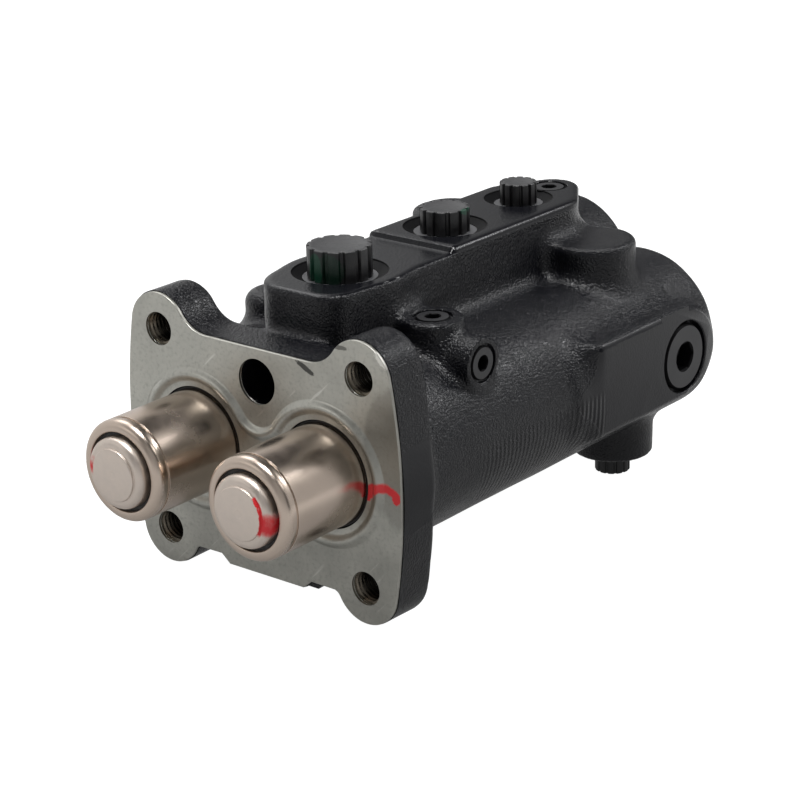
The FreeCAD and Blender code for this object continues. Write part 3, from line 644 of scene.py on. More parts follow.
class Coat:
    """A material while it is built: its wiring, its cloud, and the colour and roughness so far."""

    def __init__(self, finish: Finish, effects: Effects) -> None:
        """Starts the material of a finish.

        Args:
            finish: what the material is to look like.
            effects: the shared effects.
        """
        self.made, self.w, self.shader = new_material(finish.name, finish.metallic, finish.ior)
        self.effects = effects
        self.place = self.w.place()
        self.cloud = self.w.effect(effects.mottle, self.place, *finish.cloud)
        self.colour = self.w.tint(self.cloud, *(scaled(finish.colour, share) for share in finish.shades))
        smooth, dull = finish.roughness - finish.drift[0], finish.roughness + finish.drift[1]
        self.rough = self.w.spread(self.cloud, *finish.span, smooth, dull)

    def cover(self, mask: Socket, colour: Colour) -> Socket:
        """Lays a colour over where a mask is 1, and gives the mask back."""
        self.colour = self.w.tint(mask, self.colour, colour)
        return mask

    def done(self, **more: object) -> Material:
        """Gives the shader its colour, its roughness and more, and returns the material."""
        self.w.feed(self.shader, {"Base Color": self.colour, "Roughness": self.rough, **more})
        return self.made


@dataclass(frozen=True)
class Dab:
    """A touch of paint put on by hand, of which a share covers."""

    centre: Point
    size: Point
    colour: Colour
    ragged: float = 0.7
    scale: float = 2.6
    turn: Point = (0.0, 0.0, 0.0)
    share: float = 1.0

    def mask(self, coat: Coat) -> Socket:
        """Where the paint lies."""
        local = coat.w.mapped(coat.place, self.centre, self.size, self.turn)
        return coat.w.times(coat.w.effect(coat.effects.dab, local, self.ragged, self.scale), self.share)


@dataclass(frozen=True)
class RingMark:
    """A brushed mark along part of a ring round an axis along Y: its edges, its middle's angle and its half length.

    The ragged edge wanders by so many millimetres for each part of the turn, and the ends fade over a cosine.
    """

    centre: Point
    inner: float
    outer: float
    angle: float
    half: float
    colour: Colour
    ragged: float = 0.25
    soft: float = 0.35
    scale: float = 220.0
    wander: float = 4.0
    fade: Pair = (0.04, 0.06)

    def mask(self, coat: Coat) -> Socket:
        """Where the paint lies: radius between two edges and turn within a half angle, both ragged.

        Args:
            coat: the material that wears the mark.

        Returns:
            1 under the paint and 0 elsewhere.
        """
        w = coat.w
        x, _, z = w.split(w.mapped(coat.place, self.centre, (1.0, 1.0, 1.0)))
        rag = w.times(w.less(w.noise(coat.place, self.scale, 4.0, 0.65), 0.5), self.ragged)
        reach = w.radius(x, z)
        angle, limit = math.radians(self.angle), math.cos(math.radians(self.half))
        aim = w.plus(w.times(x, math.cos(angle)), w.times(z, math.sin(angle)))
        turn = w.plus(w.maths("DIVIDE", aim, reach), rag)
        within = w.spread(turn, limit - self.fade[0], limit + self.fade[1])
        bent = w.plus(reach, w.times(rag, self.wander))
        outside = w.spread(bent, self.inner - self.soft, self.inner + self.soft)
        short = w.spread(bent, self.outer - self.soft, self.outer + self.soft, 1.0, 0.0)
        return w.times(within, outside, short)


@dataclass(frozen=True)
class BlackPaint(Finish):
    """Semi-gloss black paint on the sand-cast body, calm on the machined levels, with fine upright lines on a flank.

    The levels begin at a height and the milled face at an X. The lines have a pitch along the barrel, and fade in and
    out over spans of X, Y and Z.
    """

    name: str = "black_casting_paint"
    colour: Colour = (0.0045, 0.0047, 0.0066)
    roughness: float = 0.16
    cloud: Pair = (70.0, 1.2)
    shades: Pair = (0.8, 1.3)
    drift: Pair = (0.04, 0.08)
    ior: float = 1.4
    grain: Pair = (1350.0, 0.7)
    grain_depth: float = 0.17
    level_z: Pair = (53.8, 54.3)
    milled_x: Pair = (61.22, 61.28)
    calm: float = 0.82
    line_pitch: float = 2.3
    line_depth: float = 0.6
    line_x: Pair = (44.0, 48.0)
    line_y: tuple[Pair, Pair] = ((43.0, 50.0), (112.0, 116.0))
    line_z: tuple[Pair, Pair] = ((-26.0, -21.0), (-1.0, 4.0))

    def material(self, effects: Effects) -> Material:
        """Builds the finish from the shared effects."""
        coat = Coat(self, effects)
        w = coat.w
        x, y, z = w.split(coat.place)
        machined = w.maths("MAXIMUM", w.rise(z, self.level_z), w.rise(x, self.milled_x))
        rough_cast = w.less(1.0, w.times(machined, self.calm))
        grain = w.times(w.effect(effects.grain, coat.place, *self.grain), rough_cast)
        wave = w.maths("SINE", w.times(y, 2 * math.pi / (self.line_pitch * MM)))
        along = w.times(w.rise(y, self.line_y[0]), w.fall(y, self.line_y[1]))
        upright = w.times(w.rise(z, self.line_z[0]), w.fall(z, self.line_z[1]))
        lines = w.times(wave, along, upright, w.rise(x, self.line_x), self.line_depth)
        return coat.done(Normal=w.bump(w.plus(grain, lines), self.grain_depth))


@dataclass(frozen=True)
class Metal(Finish):
    """A turned finish: its marks' depth, their rings and depths a metre and the axis that they run round.

    The matte is more roughness, full below the first Y of its span and none past the second. Paint on it adds more.
    """

    span: Pair = (0.15, 0.85)
    metallic: float = 1.0
    marks: float = 0.002
    rings: float = 6000.0
    depths: float = 6000.0
    centre: Point = (0.0, 0.0, 0.0)
    matte: float = 0.0
    matte_y: Pair = (0.0, 1.0)
    paint_rough: float = 0.1

    def material(self, effects: Effects, dabs: tuple[Dab | RingMark, ...] = ()) -> Material:
        """Builds the finish.

        Args:
            effects: the shared effects.
            dabs: touches of paint over the metal.

        Returns:
            The material.
        """
        coat = Coat(self, effects)
        w = coat.w
        centred = w.mapped(coat.place, self.centre, (1000.0, 1000.0, 1000.0))
        marks = w.effect(effects.turning, centred, self.rings, self.depths)
        if self.matte:
            coat.rough = w.plus(coat.rough, w.times(w.fall(w.split(coat.place)[1], self.matte_y), self.matte))
        bare = self.metallic
        for dab in dabs:
            mask = coat.cover(dab.mask(coat), dab.colour)
            coat.rough = w.plus(coat.rough, w.times(mask, self.paint_rough))
            bare = w.times(bare, w.less(1.0, mask))
        return coat.done(Normal=w.bump(marks, self.marks), Metallic=bare)


@dataclass(frozen=True)
class PlateSteel(Finish):
    """Zinc-olive pressed sheet: satin, cloudy, speckled, with fine scuffs, touches of wear, paint and grime, and a
    broad darker patch over its right side that is a painted dark reflection.

    The speckle and the scuffs have a scale and a contrast or stretch. The speck and scuff shares are how much of
    their colour shows.
    """

    name: str = "plate_sheet"
    colour: Colour = (0.5, 0.495, 0.45)
    roughness: float = 0.37
    cloud: Pair = (45.0, 1.8)
    shades: Pair = (0.68, 1.14)
    drift: Pair = (0.05, 0.08)
    metallic: float = 1.0
    speckle: Pair = (700.0, 1.4)
    speck_share: float = 0.55
    speck_shade: float = 0.6
    scuffs: Pair = (260.0, 0.1)
    scuff_share: float = 0.35
    scuff_gloss: float = 0.08
    relief: Pair = (4.0, 0.02)
    touches: tuple[Dab, ...] = (
        Dab((55.6, 0.0, 45.8), (4.6, 3.0, 2.6), WORN, 0.9, 3.0, (0.0, 40.0, 0.0), 0.7),
        Dab((22.0, 0.0, 36.2), (4.6, 3.0, 1.1), (0.03, 0.03, 0.03), 1.3, 3.4, (0.0, 25.0, 0.0), 0.85),
        Dab((36.5, 0.0, 46.3), (4.2, 3.0, 0.9), (0.05, 0.05, 0.045), 1.3, 3.0, share=0.7),
        # broad darkening over the right side: a painted dark reflection
        Dab((59.0, 0.0, 12.0), (13.0, 6.0, 26.0), (0.25, 0.2475, 0.225), 0.5, 1.2, share=0.6),
    )
    arc: RingMark = RingMark((54.4, 0.0, -7.2), 6.7, 10.0, 106.0, 56.0, RED, 0.75, 0.55)
    blob: Dab = Dab((59.3, 0.0, -1.4), (1.9, 3.0, 2.5), RED, 0.9, 3.0)

    def material(self, effects: Effects) -> Material:
        """Builds the finish from the shared effects."""
        coat = Coat(self, effects)
        w = coat.w
        fine = w.effect(effects.mottle, coat.place, *self.speckle)
        scuff = w.effect(effects.scuff, coat.place, *self.scuffs)
        coat.cover(w.times(w.spread(fine, 0.45, 0.8), self.speck_share), scaled(self.colour, self.speck_shade))
        coat.cover(w.times(scuff, self.scuff_share), WORN)
        for dab in self.touches:
            coat.cover(dab.mask(coat), dab.colour)
        red = coat.cover(w.maths("MAXIMUM", self.arc.mask(coat), self.blob.mask(coat)), RED)
        coat.rough = w.less(coat.rough, w.times(scuff, self.scuff_gloss))
        height = w.plus(fine, w.times(coat.cloud, self.relief[0]))
        return coat.done(Normal=w.bump(height, self.relief[1]), Metallic=w.less(1.0, red))


@dataclass(frozen=True)
class CutThread(Finish):
    """Bare cut thread, bright at its mouth and darker further in over a span of depth; the darkening is painted shade
    inside the hole.
    """

    name: str = "cut_thread"
    colour: Colour = (0.2, 0.175, 0.14)
    roughness: float = 0.3
    cloud: Pair = (500.0, 1.6)
    shades: Pair = (0.5, 1.5)
    drift: Pair = (0.05, 0.1)
    metallic: float = 1.0
    shade_depth_y: Pair = (2.0, 6.5)
    shade_depth_share: float = 0.08

    def material(self, effects: Effects) -> Material:
        """Builds the finish from the shared effects."""
        coat = Coat(self, effects)
        # darker with depth into the hole: painted shade
        coat.cover(coat.w.rise(coat.w.split(coat.place)[1], self.shade_depth_y), scaled(self.colour, self.shade_depth_share))
        return coat.done()


@dataclass(frozen=True)
class Moulded(Finish):
    """Black moulded rubber with a greasy bloom, or plastic coloured lighter over its top, with touches of paint."""

    grain: Pair = (5000.0, 0.3)
    grain_depth: float = 0.01
    top: float | None = None
    dust_depth: float = 0.25
    dust: Colour = (0.05, 0.05, 0.052)
    dabs: tuple[Dab, ...] = ()

    def material(self, effects: Effects) -> Material:
        """Builds the finish from the shared effects."""
        coat = Coat(self, effects)
        w = coat.w
        if self.top is not None:
            # a lighter colour over a thin band at the top
            coat.cover(w.rise(w.split(coat.place)[2], (self.top - self.dust_depth, self.top)), self.dust)
        for dab in self.dabs:
            coat.cover(dab.mask(coat), dab.colour)
        return coat.done(Normal=w.bump(w.effect(effects.grain, coat.place, *self.grain), self.grain_depth))


@dataclass(frozen=True)
class CapPlastic(Moulded):
    """The plastic of the transport caps."""

    colour: Colour = (0.009, 0.009, 0.01)
    roughness: float = 0.36
    cloud: Pair = (260.0, 1.6)
    shades: Pair = (0.7, 1.5)
    drift: Pair = (0.06, 0.1)
    grain: Pair = (2600.0, 0.2)
    grain_depth: float = 0.02


RUBBER = Moulded("rubber_black", (0.011, 0.01, 0.01), 0.5, (500.0, 1.4), (0.7, 1.8), (0.08, 0.1))
FLOOR = Metal("painted_floor", (0.09, 0.09, 0.095), 0.4, metallic=0.0, rings=3500.0)
# Near-black, almost glossless finish for spotface walls and plug rims: painted shade in the recesses.
WALL = Metal("spotface_wall", (0.004, 0.004, 0.0045), 0.5, metallic=0.0, marks=0.004, ior=1.15)
BORE = Metal("dark_bore", (0.16, 0.15, 0.14), 0.42, rings=2500.0, depths=2500.0)
PLUG = Metal("blacked_plug", (0.02, 0.02, 0.022), 0.4, metallic=0.0, rings=3000.0)
GROUND = Metal("inner_ground", (0.5, 0.49, 0.47), 0.28)
WIRE = Metal("spring_wire", (0.3, 0.3, 0.31), 0.3, cloud=(400.0, 1.6))
BRONZE = Metal("bushing_bronze", (0.53, 0.33, 0.15), 0.36)


class Finishes:
    """Every finish that more than one piece wears."""

    def __init__(self, effects: Effects) -> None:
        """Builds the finishes."""
        self.effects = effects
        self.paint = BlackPaint().material(effects)
        self.plate = PlateSteel().material(effects)
        self.rubber = RUBBER.material(effects)
        self.floor = FLOOR.material(effects)
        self.shade = WALL.material(effects)
        self.bore = BORE.material(effects)
        self.plug = PLUG.material(effects)
        self.thread = CutThread().material(effects)
        self.inner = GROUND.material(effects)
        self.spring = WIRE.material(effects)
        self.bronze = BRONZE.material(effects)


# Sub-assemblies


@dataclass(frozen=True)
class Layout:
    """Places that several sub-assemblies share."""

    bore_x: float = 28.5
    hole_x: float = 45.0
    hole_z: float = 37.0
    ear_r: float = 13.0
    plate_t: float = 1.2
    plate_half_w: float = 61.5
    top_z: float = 38.5
    top_neck_r: float = 14.0
    low_neck_z: float = -41.0
    low_neck_r: float = 3.5
    lip_z: float = -44.1
    lip_half_w: float = 17.0
    lip_run: float = 3.7
    flange_rear_y: float = 18.0
    centre_hole_z: float = 26.8
    centre_hole_r: float = 8.3
    chamber_y: float = 167.0
    pad_x: float = 61.3

    def ears(self) -> list[tuple[float, float]]:
        """X and Z of the four flange holes."""
        return [(x, z) for x in (-self.hole_x, self.hole_x) for z in (-self.hole_z, self.hole_z)]

    def outline(self, step: float = 1.2) -> Array:
        """The flange's outline in X and Z, clockwise from the top middle, as arcs and lines.

        Args:
            step: longest distance between points on the arcs.

        Returns:
            The closed outline, one point a row.
        """
        ear = np.array([self.hole_x, self.hole_z])
        low = np.array([self.hole_x, -self.hole_z])
        top_neck = self.neck(ear, self.top_z, self.top_neck_r, 1)
        low_neck = self.neck(low, self.low_neck_z, self.low_neck_r, -1)
        inner = self.plate_half_w - self.ear_r
        bow_x = (inner**2 - self.hole_x**2 - self.hole_z**2) / (2 * (inner - self.hole_x))
        bow = np.array([bow_x, 0.0])
        bow_r = self.plate_half_w - bow_x
        b = np.array([top_neck[0], self.top_z])
        c = reach_to(ear, top_neck, self.ear_r)
        d = reach_to(bow, ear, bow_r)
        e = reach_to(bow, low, bow_r)
        f = reach_to(low, low_neck, self.ear_r)
        g = np.array([low_neck[0], self.low_neck_z])
        half = [
            np.array([[0.0, self.top_z]]),
            short_arc(top_neck, b, c, step),
            short_arc(ear, c, d, step),
            short_arc(bow, d, e, step * 2),
            short_arc(low, e, f, step),
            short_arc(low_neck, f, g, step),
            np.array([[self.lip_half_w + self.lip_run, self.low_neck_z], [self.lip_half_w, self.lip_z]]),
        ]
        right = np.concatenate(half)
        left = right[1:][::-1] * np.array([-1.0, 1.0])
        return np.concatenate([right, left])

    def neck(self, ear: Array, line_z: float, neck_r: float, outward: int) -> Array:
        """Centre of the hollow arc that joins an ear to a straight edge."""
        z = line_z + outward * neck_r
        reach = self.ear_r + neck_r
        return np.array([ear[0] - math.sqrt(reach**2 - (z - ear[1]) ** 2), z])


def reach_to(centre: Array, target: Array, radius: float) -> Array:
    """The point at a radius from a centre, towards a target."""
    away = target - centre
    return centre + away * radius / np.linalg.norm(away)


def short_arc(centre: Array, start: Array, end: Array, step: float) -> Array:
    """Points of the shorter arc round a centre, without its last one."""
    first, last = start - centre, end - centre
    sweep = math.atan2(first[0] * last[1] - first[1] * last[0], float(first @ last))
    radius = float(np.linalg.norm(first))
    count = max(4, int(abs(sweep) * radius / step))
    turn = math.atan2(first[1], first[0]) + sweep * np.arange(count) / count
    return centre + radius * np.stack([np.cos(turn), np.sin(turn)], axis=1)


def shifted(loop: Array, offset: float) -> Array:
    """A clockwise outline moved outwards along its own normals."""
    tangent = np.roll(loop, -1, axis=0) - np.roll(loop, 1, axis=0)
    tangent /= np.linalg.norm(tangent, axis=1)[:, None]
    return loop + offset * np.stack([-tangent[:, 1], tangent[:, 0]], axis=1)


def round_union(a: Array, b: Array, radius: float) -> Array:
    """Distance to two forms joined with a hollow fillet: r or the nearer, less the reach into both fillets."""
    return np.maximum(radius, np.minimum(a, b)) - np.hypot(np.maximum(radius - a, 0), np.maximum(radius - b, 0))


def round_common(a: Array, b: Array, radius: float) -> Array:
    """Distance to what two forms share, with a rounded edge."""
    return np.minimum(-radius, np.maximum(a, b)) + np.hypot(np.maximum(radius + a, 0), np.maximum(radius + b, 0))


def smooth_step(value: Array) -> Array:
    """Rises from 0 to 1 with level ends: 3 t squared less 2 t cubed."""
    t = np.clip(value, 0, 1)
    return t * t * (3 - 2 * t)


def at_depth(flat: Array, y: float) -> Array:
    """Points in X and Z put at one depth."""
    return np.column_stack([flat[:, 0], np.full(len(flat), y), flat[:, 1]])


def drilled(*steps: Pair) -> list[Point]:
    """Profile of a stepped hole from the radius and the depth of each step, the mouth first."""
    corners, depth = [(0.0, 0.0, 0.0)], 0.0
    for radius, end in steps:
        corners += [(radius, depth, 0.0), (radius, end, 0.0)]
        depth = end
    return corners + [(0.0, depth, 0.0)]


@dataclass(frozen=True)
class Boss:
    """An upright round boss on a barrel: its place, its radius, its top and the radius of its top edge."""

    x: float
    y: float
    radius: float
    top: float
    edge: float

    def distance(self, at: Places) -> Array:
        """Distance to it, with its root on the barrel's axis."""
        x, y, z = at
        wall = np.hypot(x - self.x, y - self.y) - self.radius
        return np.maximum(round_common(wall, z - self.top, self.edge), -z)


@dataclass(frozen=True)
class Port:
    """A top port: its place along Y, its face's height, and the radii of its spotface and thread."""

    y: float
    face_z: float
    wide: float
    thread: float
    above: float = 0.5
    cone: float = 3.6
    floor: float = 2.5
    thread_end: float = 17.5
    drilling_r: float = 4.0
    drilling_z: float = 24.0

    def hole(self) -> Shell:
        """The hole from above the face downwards: broken edge, conical spotface, thread and drilling."""
        foot, thread = self.wide - self.cone, self.thread
        top = self.face_z + self.above
        end = top - self.drilling_z
        profile = [(0, 0, 0), (self.wide + 0.65, 0, 0), (self.wide, 0.75, 0), (self.wide, 1.0, 0)]
        profile += [(foot, self.floor - 0.2, 0), (foot, self.floor, 0), (thread + 0.2, self.floor, 0)]
        profile += [(thread, self.floor + 0.4, 0), (thread, self.thread_end, 0)]
        profile += [(self.drilling_r, self.thread_end, 0), (self.drilling_r, end, 0), (0, end, 0)]
        return lathe(profile, (0, self.y, top), (0, 0, -1))


@dataclass(frozen=True)
class Fillets:
    """Radii of the hollow fillets at the roots of the casting's forms."""

    barrels: float = 4.0
    hump: float = 3.0
    web: float = 4.0
    blank_boss: float = 4.5
    plug_bosses: float = 3.5
    rear_bosses: float = 5.0
    ridge: float = 7.0
    brake_bosses: float = 3.5
    pads: float = 5.0
    flange: float = 3.0
    supply_swell: float = 4.0
    plug_pair: float = 3.0


class Wear(Enum):
    """The casting's finishes, by their place in its list of materials."""

    PAINT = 0
    FLOOR = 1
    BORE = 2
    # the spotfaces' walls, near-black: painted shade
    WALL = 3


@dataclass
class Casting:
    """The black casting: flange, two barrels, port ridge, bosses and pads, then its machining.

    The hump swells the left barrel, the web joins both barrels below, and the lug is a small block under the flange.
    A pair is a low and a high place, left and right, or a radius and a depth. The hump and the side plug's boss have
    their axis and their radius. Each form's method takes places, three arrays that broadcast together, and gives its
    distance there in millimetres.
    """

    layout: Layout
    finishes: Finishes
    fillets: Fillets = Fillets()
    cell: float = 1.25
    grow: float = 0.4
    low: Point = (-64.0, -4.0, -53.5)
    high: Point = (64.0, 221.5, 60.0)
    barrel_r: float = 31.8
    barrel_edge: float = 4.0
    rear_y: Pair = (219.0, 190.5)
    hump: Point = (-26.0, 10.0, 28.0)
    hump_y: float = 146.0
    web_half_w: float = 20.0
    web_y: float = 183.0
    web_z: float = -26.0
    ridge_x: Pair = (-19.0, 20.5)
    ridge_y: Pair = (17.3, 150.0)
    ridge_z: Pair = (54.5, 56.5)
    ridge_root_z: float = -20.0
    ridge_corner: Pair = (14.0, 11.0)
    ridge_rear: Pair = (168.0, 10.0)
    edge: float = 2.2
    supply_boss: Pair = (46.5, 22.0)
    step_y: float = 81.3
    step_run: float = 2.0
    blank_boss: Boss = Boss(-35.0, 49.0, 11.0, 40.5, 5.0)
    top_plug_boss: Boss = Boss(32.5, 54.3, 11.2, 41.5, 1.8)
    side_plug_boss: Point = (54.3, 28.5, 9.0)
    side_plug_x: Pair = (28.0, 54.0)
    rear_bosses: tuple[Boss, Boss] = (Boss(-34.0, 150.0, 15.6, 46.5, 2.2), Boss(28.5, 152.4, 17.0, 44.4, 2.2))
    brake_bosses: tuple[Boss, Boss] = (Boss(-28.5, 167.0, 15.5, 44.0, 1.4), Boss(28.5, 167.0, 15.5, 44.0, 1.4))
    pad_y: Point = (100.0, 102.0, 169.0)
    pad_z: Pair = (-16.5, 20.2)
    pad_corner: float = 9.0
    pad_rear: Point = (1.4, 1.0, 15.6)
    lug: Point = (20.9, 15.5, -43.5)
    lug_half_w: float = 2.9
    wave_h: float = 0.06
    calm_z: Pair = (52.0, 54.0)
    back_y: float = -1.5
    ports: tuple[Port, ...] = (
        Port(44.4, 54.5, 16.75, 10.2),
        Port(102.6, 56.5, 15.1, 8.2),
        Port(146.6, 56.5, 12.7, 6.2),
    )
    bores: tuple[Pair, ...] = ((24.0, 24.0), (21.05, 86.0), (9.05, 176.0))
    ear_hole: Pair = (6.05, 21.0)
    finished_y: Pair = (1.3, 180.0)
    level_cosine: float = 0.96

    def outline_distance(self) -> None:
        """Tabulates the signed distance to the flange's outline on a flat grid, for the right half."""
        loop = self.layout.outline(1.6)
        self.table_step = 0.6
        self.table_z = -54.0
        x = np.arange(0, 66, self.table_step)
        z = np.arange(self.table_z, 62, self.table_step)
        spots = np.stack(np.meshgrid(x, z, indexing="ij"), axis=-1).reshape(-1, 2)
        ahead = np.roll(loop, -1, axis=0) - loop
        length = np.maximum((ahead**2).sum(axis=1), 1e-9)
        nearest = np.full(len(spots), 1e9)
        for start, run, size in zip(loop, ahead, length):
            away = spots - start
            share = np.clip(away @ run / size, 0, 1)
            nearest = np.minimum(nearest, np.hypot(*(away - share[:, None] * run).T))
        signed = np.where(inside(spots, [loop]), -nearest, nearest)
        self.table = signed.reshape(len(x), len(z))

    def outline_at(self, x: Array, z: Array) -> Array:
        """The tabulated distance between grid points, by bilinear blending.

        Args:
            x: places along X.
            z: places along Z.

        Returns:
            The distance at each place.
        """
        u = np.clip(np.abs(x) / self.table_step, 0, self.table.shape[0] - 1.001)
        v = np.clip((z - self.table_z) / self.table_step, 0, self.table.shape[1] - 1.001)
        u, v = np.broadcast_arrays(u, v)
        i, j = u.astype(int), v.astype(int)
        s, t = u - i, v - j
        table = self.table
        low = table[i, j] * (1 - t) + table[i, j + 1] * t
        high = table[i + 1, j] * (1 - t) + table[i + 1, j + 1] * t
        return low * (1 - s) + high * s

    def ridge(self, at: Places) -> Array:
        """Distance to the port ridge: a rounded block, then a hull of two circles, under a stepped top."""
        x, y, z = at
        middle = sum(self.ridge_x) / 2
        half = (self.ridge_x[1] - self.ridge_x[0]) / 2
        rear_y, rear_r = self.ridge_rear
        corner = np.where(x < middle, self.ridge_corner[0], self.ridge_corner[1])
        front = round_common(np.abs(x - middle) - half, self.ridge_y[0] - y, corner)
        swell = np.hypot(x, y - self.supply_boss[0]) - self.supply_boss[1]
        block = np.maximum(round_union(front, swell, self.fillets.supply_swell), y - self.ridge_y[1])
        run = np.array([-middle, rear_y - self.ridge_y[1]])
        length = float(np.linalg.norm(run))
        run /= length
        along = (x - middle) * run[0] + (y - self.ridge_y[1]) * run[1]
        across = np.abs((x - middle) * run[1] - (y - self.ridge_y[1]) * run[0])
        lean = (half - rear_r) / length
        upright = math.sqrt(1 - lean**2)
        where = -lean * across + upright * along
        straight = across * upright + along * lean - half
        tail = np.where(where < 0, np.hypot(along, across) - half, straight)
        tail = np.where(where > upright * length, np.hypot(along - length, across) - rear_r, tail)
        low, high = self.ridge_z
        top = low + (high - low) * smooth_step((y - self.step_y) / self.step_run)
        return np.maximum(round_common(np.minimum(block, tail), z - top, self.edge), self.ridge_root_z - z)

    def pad(self, at: Places) -> Array:
        """Distance to the cast block of both side pads: it rises gently out of the flank and leans out a little."""
        x, y, z = at
        front_y, rise_y, rear_y = self.pad_y
        rear_z, rear_half, rear_r = self.pad_rear
        flank = self.layout.bore_x + np.sqrt(np.maximum(self.barrel_r**2 - z**2, 100.0)) - 0.2
        face = self.layout.pad_x + 0.03 + 0.06 * np.clip(z, 0, 18)
        wall = np.abs(x) - (flank + (face - flank) * smooth_step((y - rise_y) / 12.0))
        front = round_common(front_y - y, z - self.pad_z[1], self.pad_corner)
        front = round_common(front, self.pad_z[0] - z, self.pad_corner)
        rear = np.hypot(np.maximum(y - rear_y, 0), np.maximum(np.abs(z - rear_z) - rear_half, 0)) - rear_r
        return round_common(np.maximum(front, np.where(y > rear_y, rear, -9.0)), wall, 3.0)

    def barrels(self, at: Places) -> Array:
        """Distance to both barrels, the hump on the left one and the web between them."""
        x, y, z = at
        tubes = []
        for side, rear in zip(Side, self.rear_y):
            wall = np.hypot(x - side.value * self.layout.bore_x, z) - self.barrel_r
            tubes.append(round_common(wall, y - rear, self.barrel_edge))
        hump_x, hump_z, hump_r = self.hump
        hump = round_common(np.hypot(x - hump_x, z - hump_z) - hump_r, y - self.rear_y[0], 3.0)
        hump = round_common(hump, self.hump_y - y, 6.0)
        both = round_union(round_union(tubes[0], hump, self.fillets.hump), tubes[1], self.fillets.barrels)
        web = np.maximum(np.abs(x) - self.web_half_w, y - self.web_y)
        web = np.maximum(web, np.maximum(self.web_z - z, z))
        return round_union(both, web, self.fillets.web)

    def plug_bosses(self, at: Places) -> Array:
        """Distance to the joined bosses of the two small plugs at the front right."""
        x, y, z = at
        plug_y, plug_z, radius = self.side_plug_boss
        root, face = self.side_plug_x
        side_plug = round_common(np.hypot(y - plug_y, z - plug_z) - radius, x - face, 0.9)
        side_plug = np.maximum(side_plug, root - x)
        return round_union(self.top_plug_boss.distance(at), side_plug, self.fillets.plug_pair)

    def flange(self, at: Places) -> Array:
        """Distance to the flange with the lug under it."""
        x, y, z = at
        lug_x, lug_y, lug_z = self.lug
        flange = round_common(self.outline_at(x, z) - self.grow, y - self.layout.flange_rear_y, self.edge)
        lug = round_common(np.abs(x - lug_x) - self.lug_half_w, np.maximum(y - lug_y, lug_z - z), 0.6)
        return np.minimum(flange, np.maximum(lug, z + 30.0))

    def field(self, at: Places) -> Array:
        """Signed distance to the casting before machining.

        Args:
            at: places along X, Y and Z.

        Returns:
            The distance in millimetres at each place, negative inside.
        """
        x, y, z = at
        fillets = self.fillets
        body = self.barrels(at)
        forms = (
            (self.blank_boss.distance(at), fillets.blank_boss),
            (self.plug_bosses(at), fillets.plug_bosses),
            (np.minimum(*(boss.distance(at) for boss in self.rear_bosses)), fillets.rear_bosses),
            (self.ridge(at), fillets.ridge),
            (np.minimum(*(boss.distance((x, y, -z)) for boss in self.brake_bosses)), fillets.brake_bosses),
            (self.pad(at), fillets.pads),
            (self.flange(at), fillets.flange),
        )
        for form, fillet in forms:
            body = round_union(body, form, fillet)
        wave = np.sin(x * 0.31 + 1.0) * np.sin(y * 0.23 + z * 0.17) + np.sin(z * 0.37 - y * 0.11 + x * 0.13)
        low, high = self.calm_z
        calm = 1 - smooth_step((z - low) / (high - low))
        return np.maximum(body + self.wave_h * (wave + 2.0) * calm, self.back_y - y)

    def net(self) -> Shell:
        """The skin of the field: one point in each cell that the surface crosses, then moved onto it."""
        low, high = np.array(self.low), np.array(self.high)
        counts = np.ceil((high - low) / self.cell).astype(int) + 1
        axes = [low[i] + self.cell * np.arange(counts[i]) for i in range(3)]
        values = self.field((axes[0][:, None, None], axes[1][None, :, None], axes[2][None, None, :]))
        cells = counts - 1
        spots, quads = [], []
        for axis in range(3):
            ahead = [slice(None)] * 3
            behind = [slice(None)] * 3
            ahead[axis], behind[axis] = slice(1, None), slice(0, -1)
            a, b = values[tuple(behind)], values[tuple(ahead)]
            crosses = (a < 0) != (b < 0)
            index = np.argwhere(crosses)
            place = index.astype(float)
            place[:, axis] += a[crosses] / (a[crosses] - b[crosses])
            first, second = [i for i in range(3) if i != axis]
            around = []
            for du, dv in ((0, 0), (-1, 0), (-1, -1), (0, -1)):
                cell = index.copy()
                cell[:, first] += du
                cell[:, second] += dv
                around.append(np.ravel_multi_index(cell.T, cells))
            ring = np.stack(around, axis=1)
            flip = (a[crosses] >= 0) ^ (axis == 1)
            quads.append(np.where(flip[:, None], ring[:, ::-1], ring))
            spots.append(place)
        ring = np.concatenate(quads)
        used, numbers = np.unique(ring, return_inverse=True)
        numbers = numbers.reshape(ring.shape)
        place = np.repeat(np.concatenate(spots), 4, axis=0)
        count = np.bincount(numbers.ravel(), minlength=len(used))
        sums = [np.bincount(numbers.ravel(), weights=place[:, i], minlength=len(used)) for i in range(3)]
        points = low + self.cell * np.stack([total / count for total in sums], axis=1)
        return Shell(self.onto(points), [numbers])

    def onto(self, points: Array, rounds: int = 3, small: float = 0.03) -> Array:
        """Moves points onto the surface along the field's gradient, by value over slope each time.

        Args:
            points: places near the surface, one row each.
            rounds: how often they are moved.
            small: the step over which the slope is taken.

        Returns:
            The moved points.
        """
        for _ in range(rounds):
            value = self.field(points.T)
            pairs = [(self.field((points + nudge).T), self.field((points - nudge).T)) for nudge in small * np.eye(3)]
            slope = np.stack([(ahead - behind) / (2 * small) for ahead, behind in pairs], axis=1)
            size = np.maximum((slope**2).sum(axis=1), 0.2)
            step = np.clip(value / size, -self.cell, self.cell)
            points = points - step[:, None] * slope
        return points

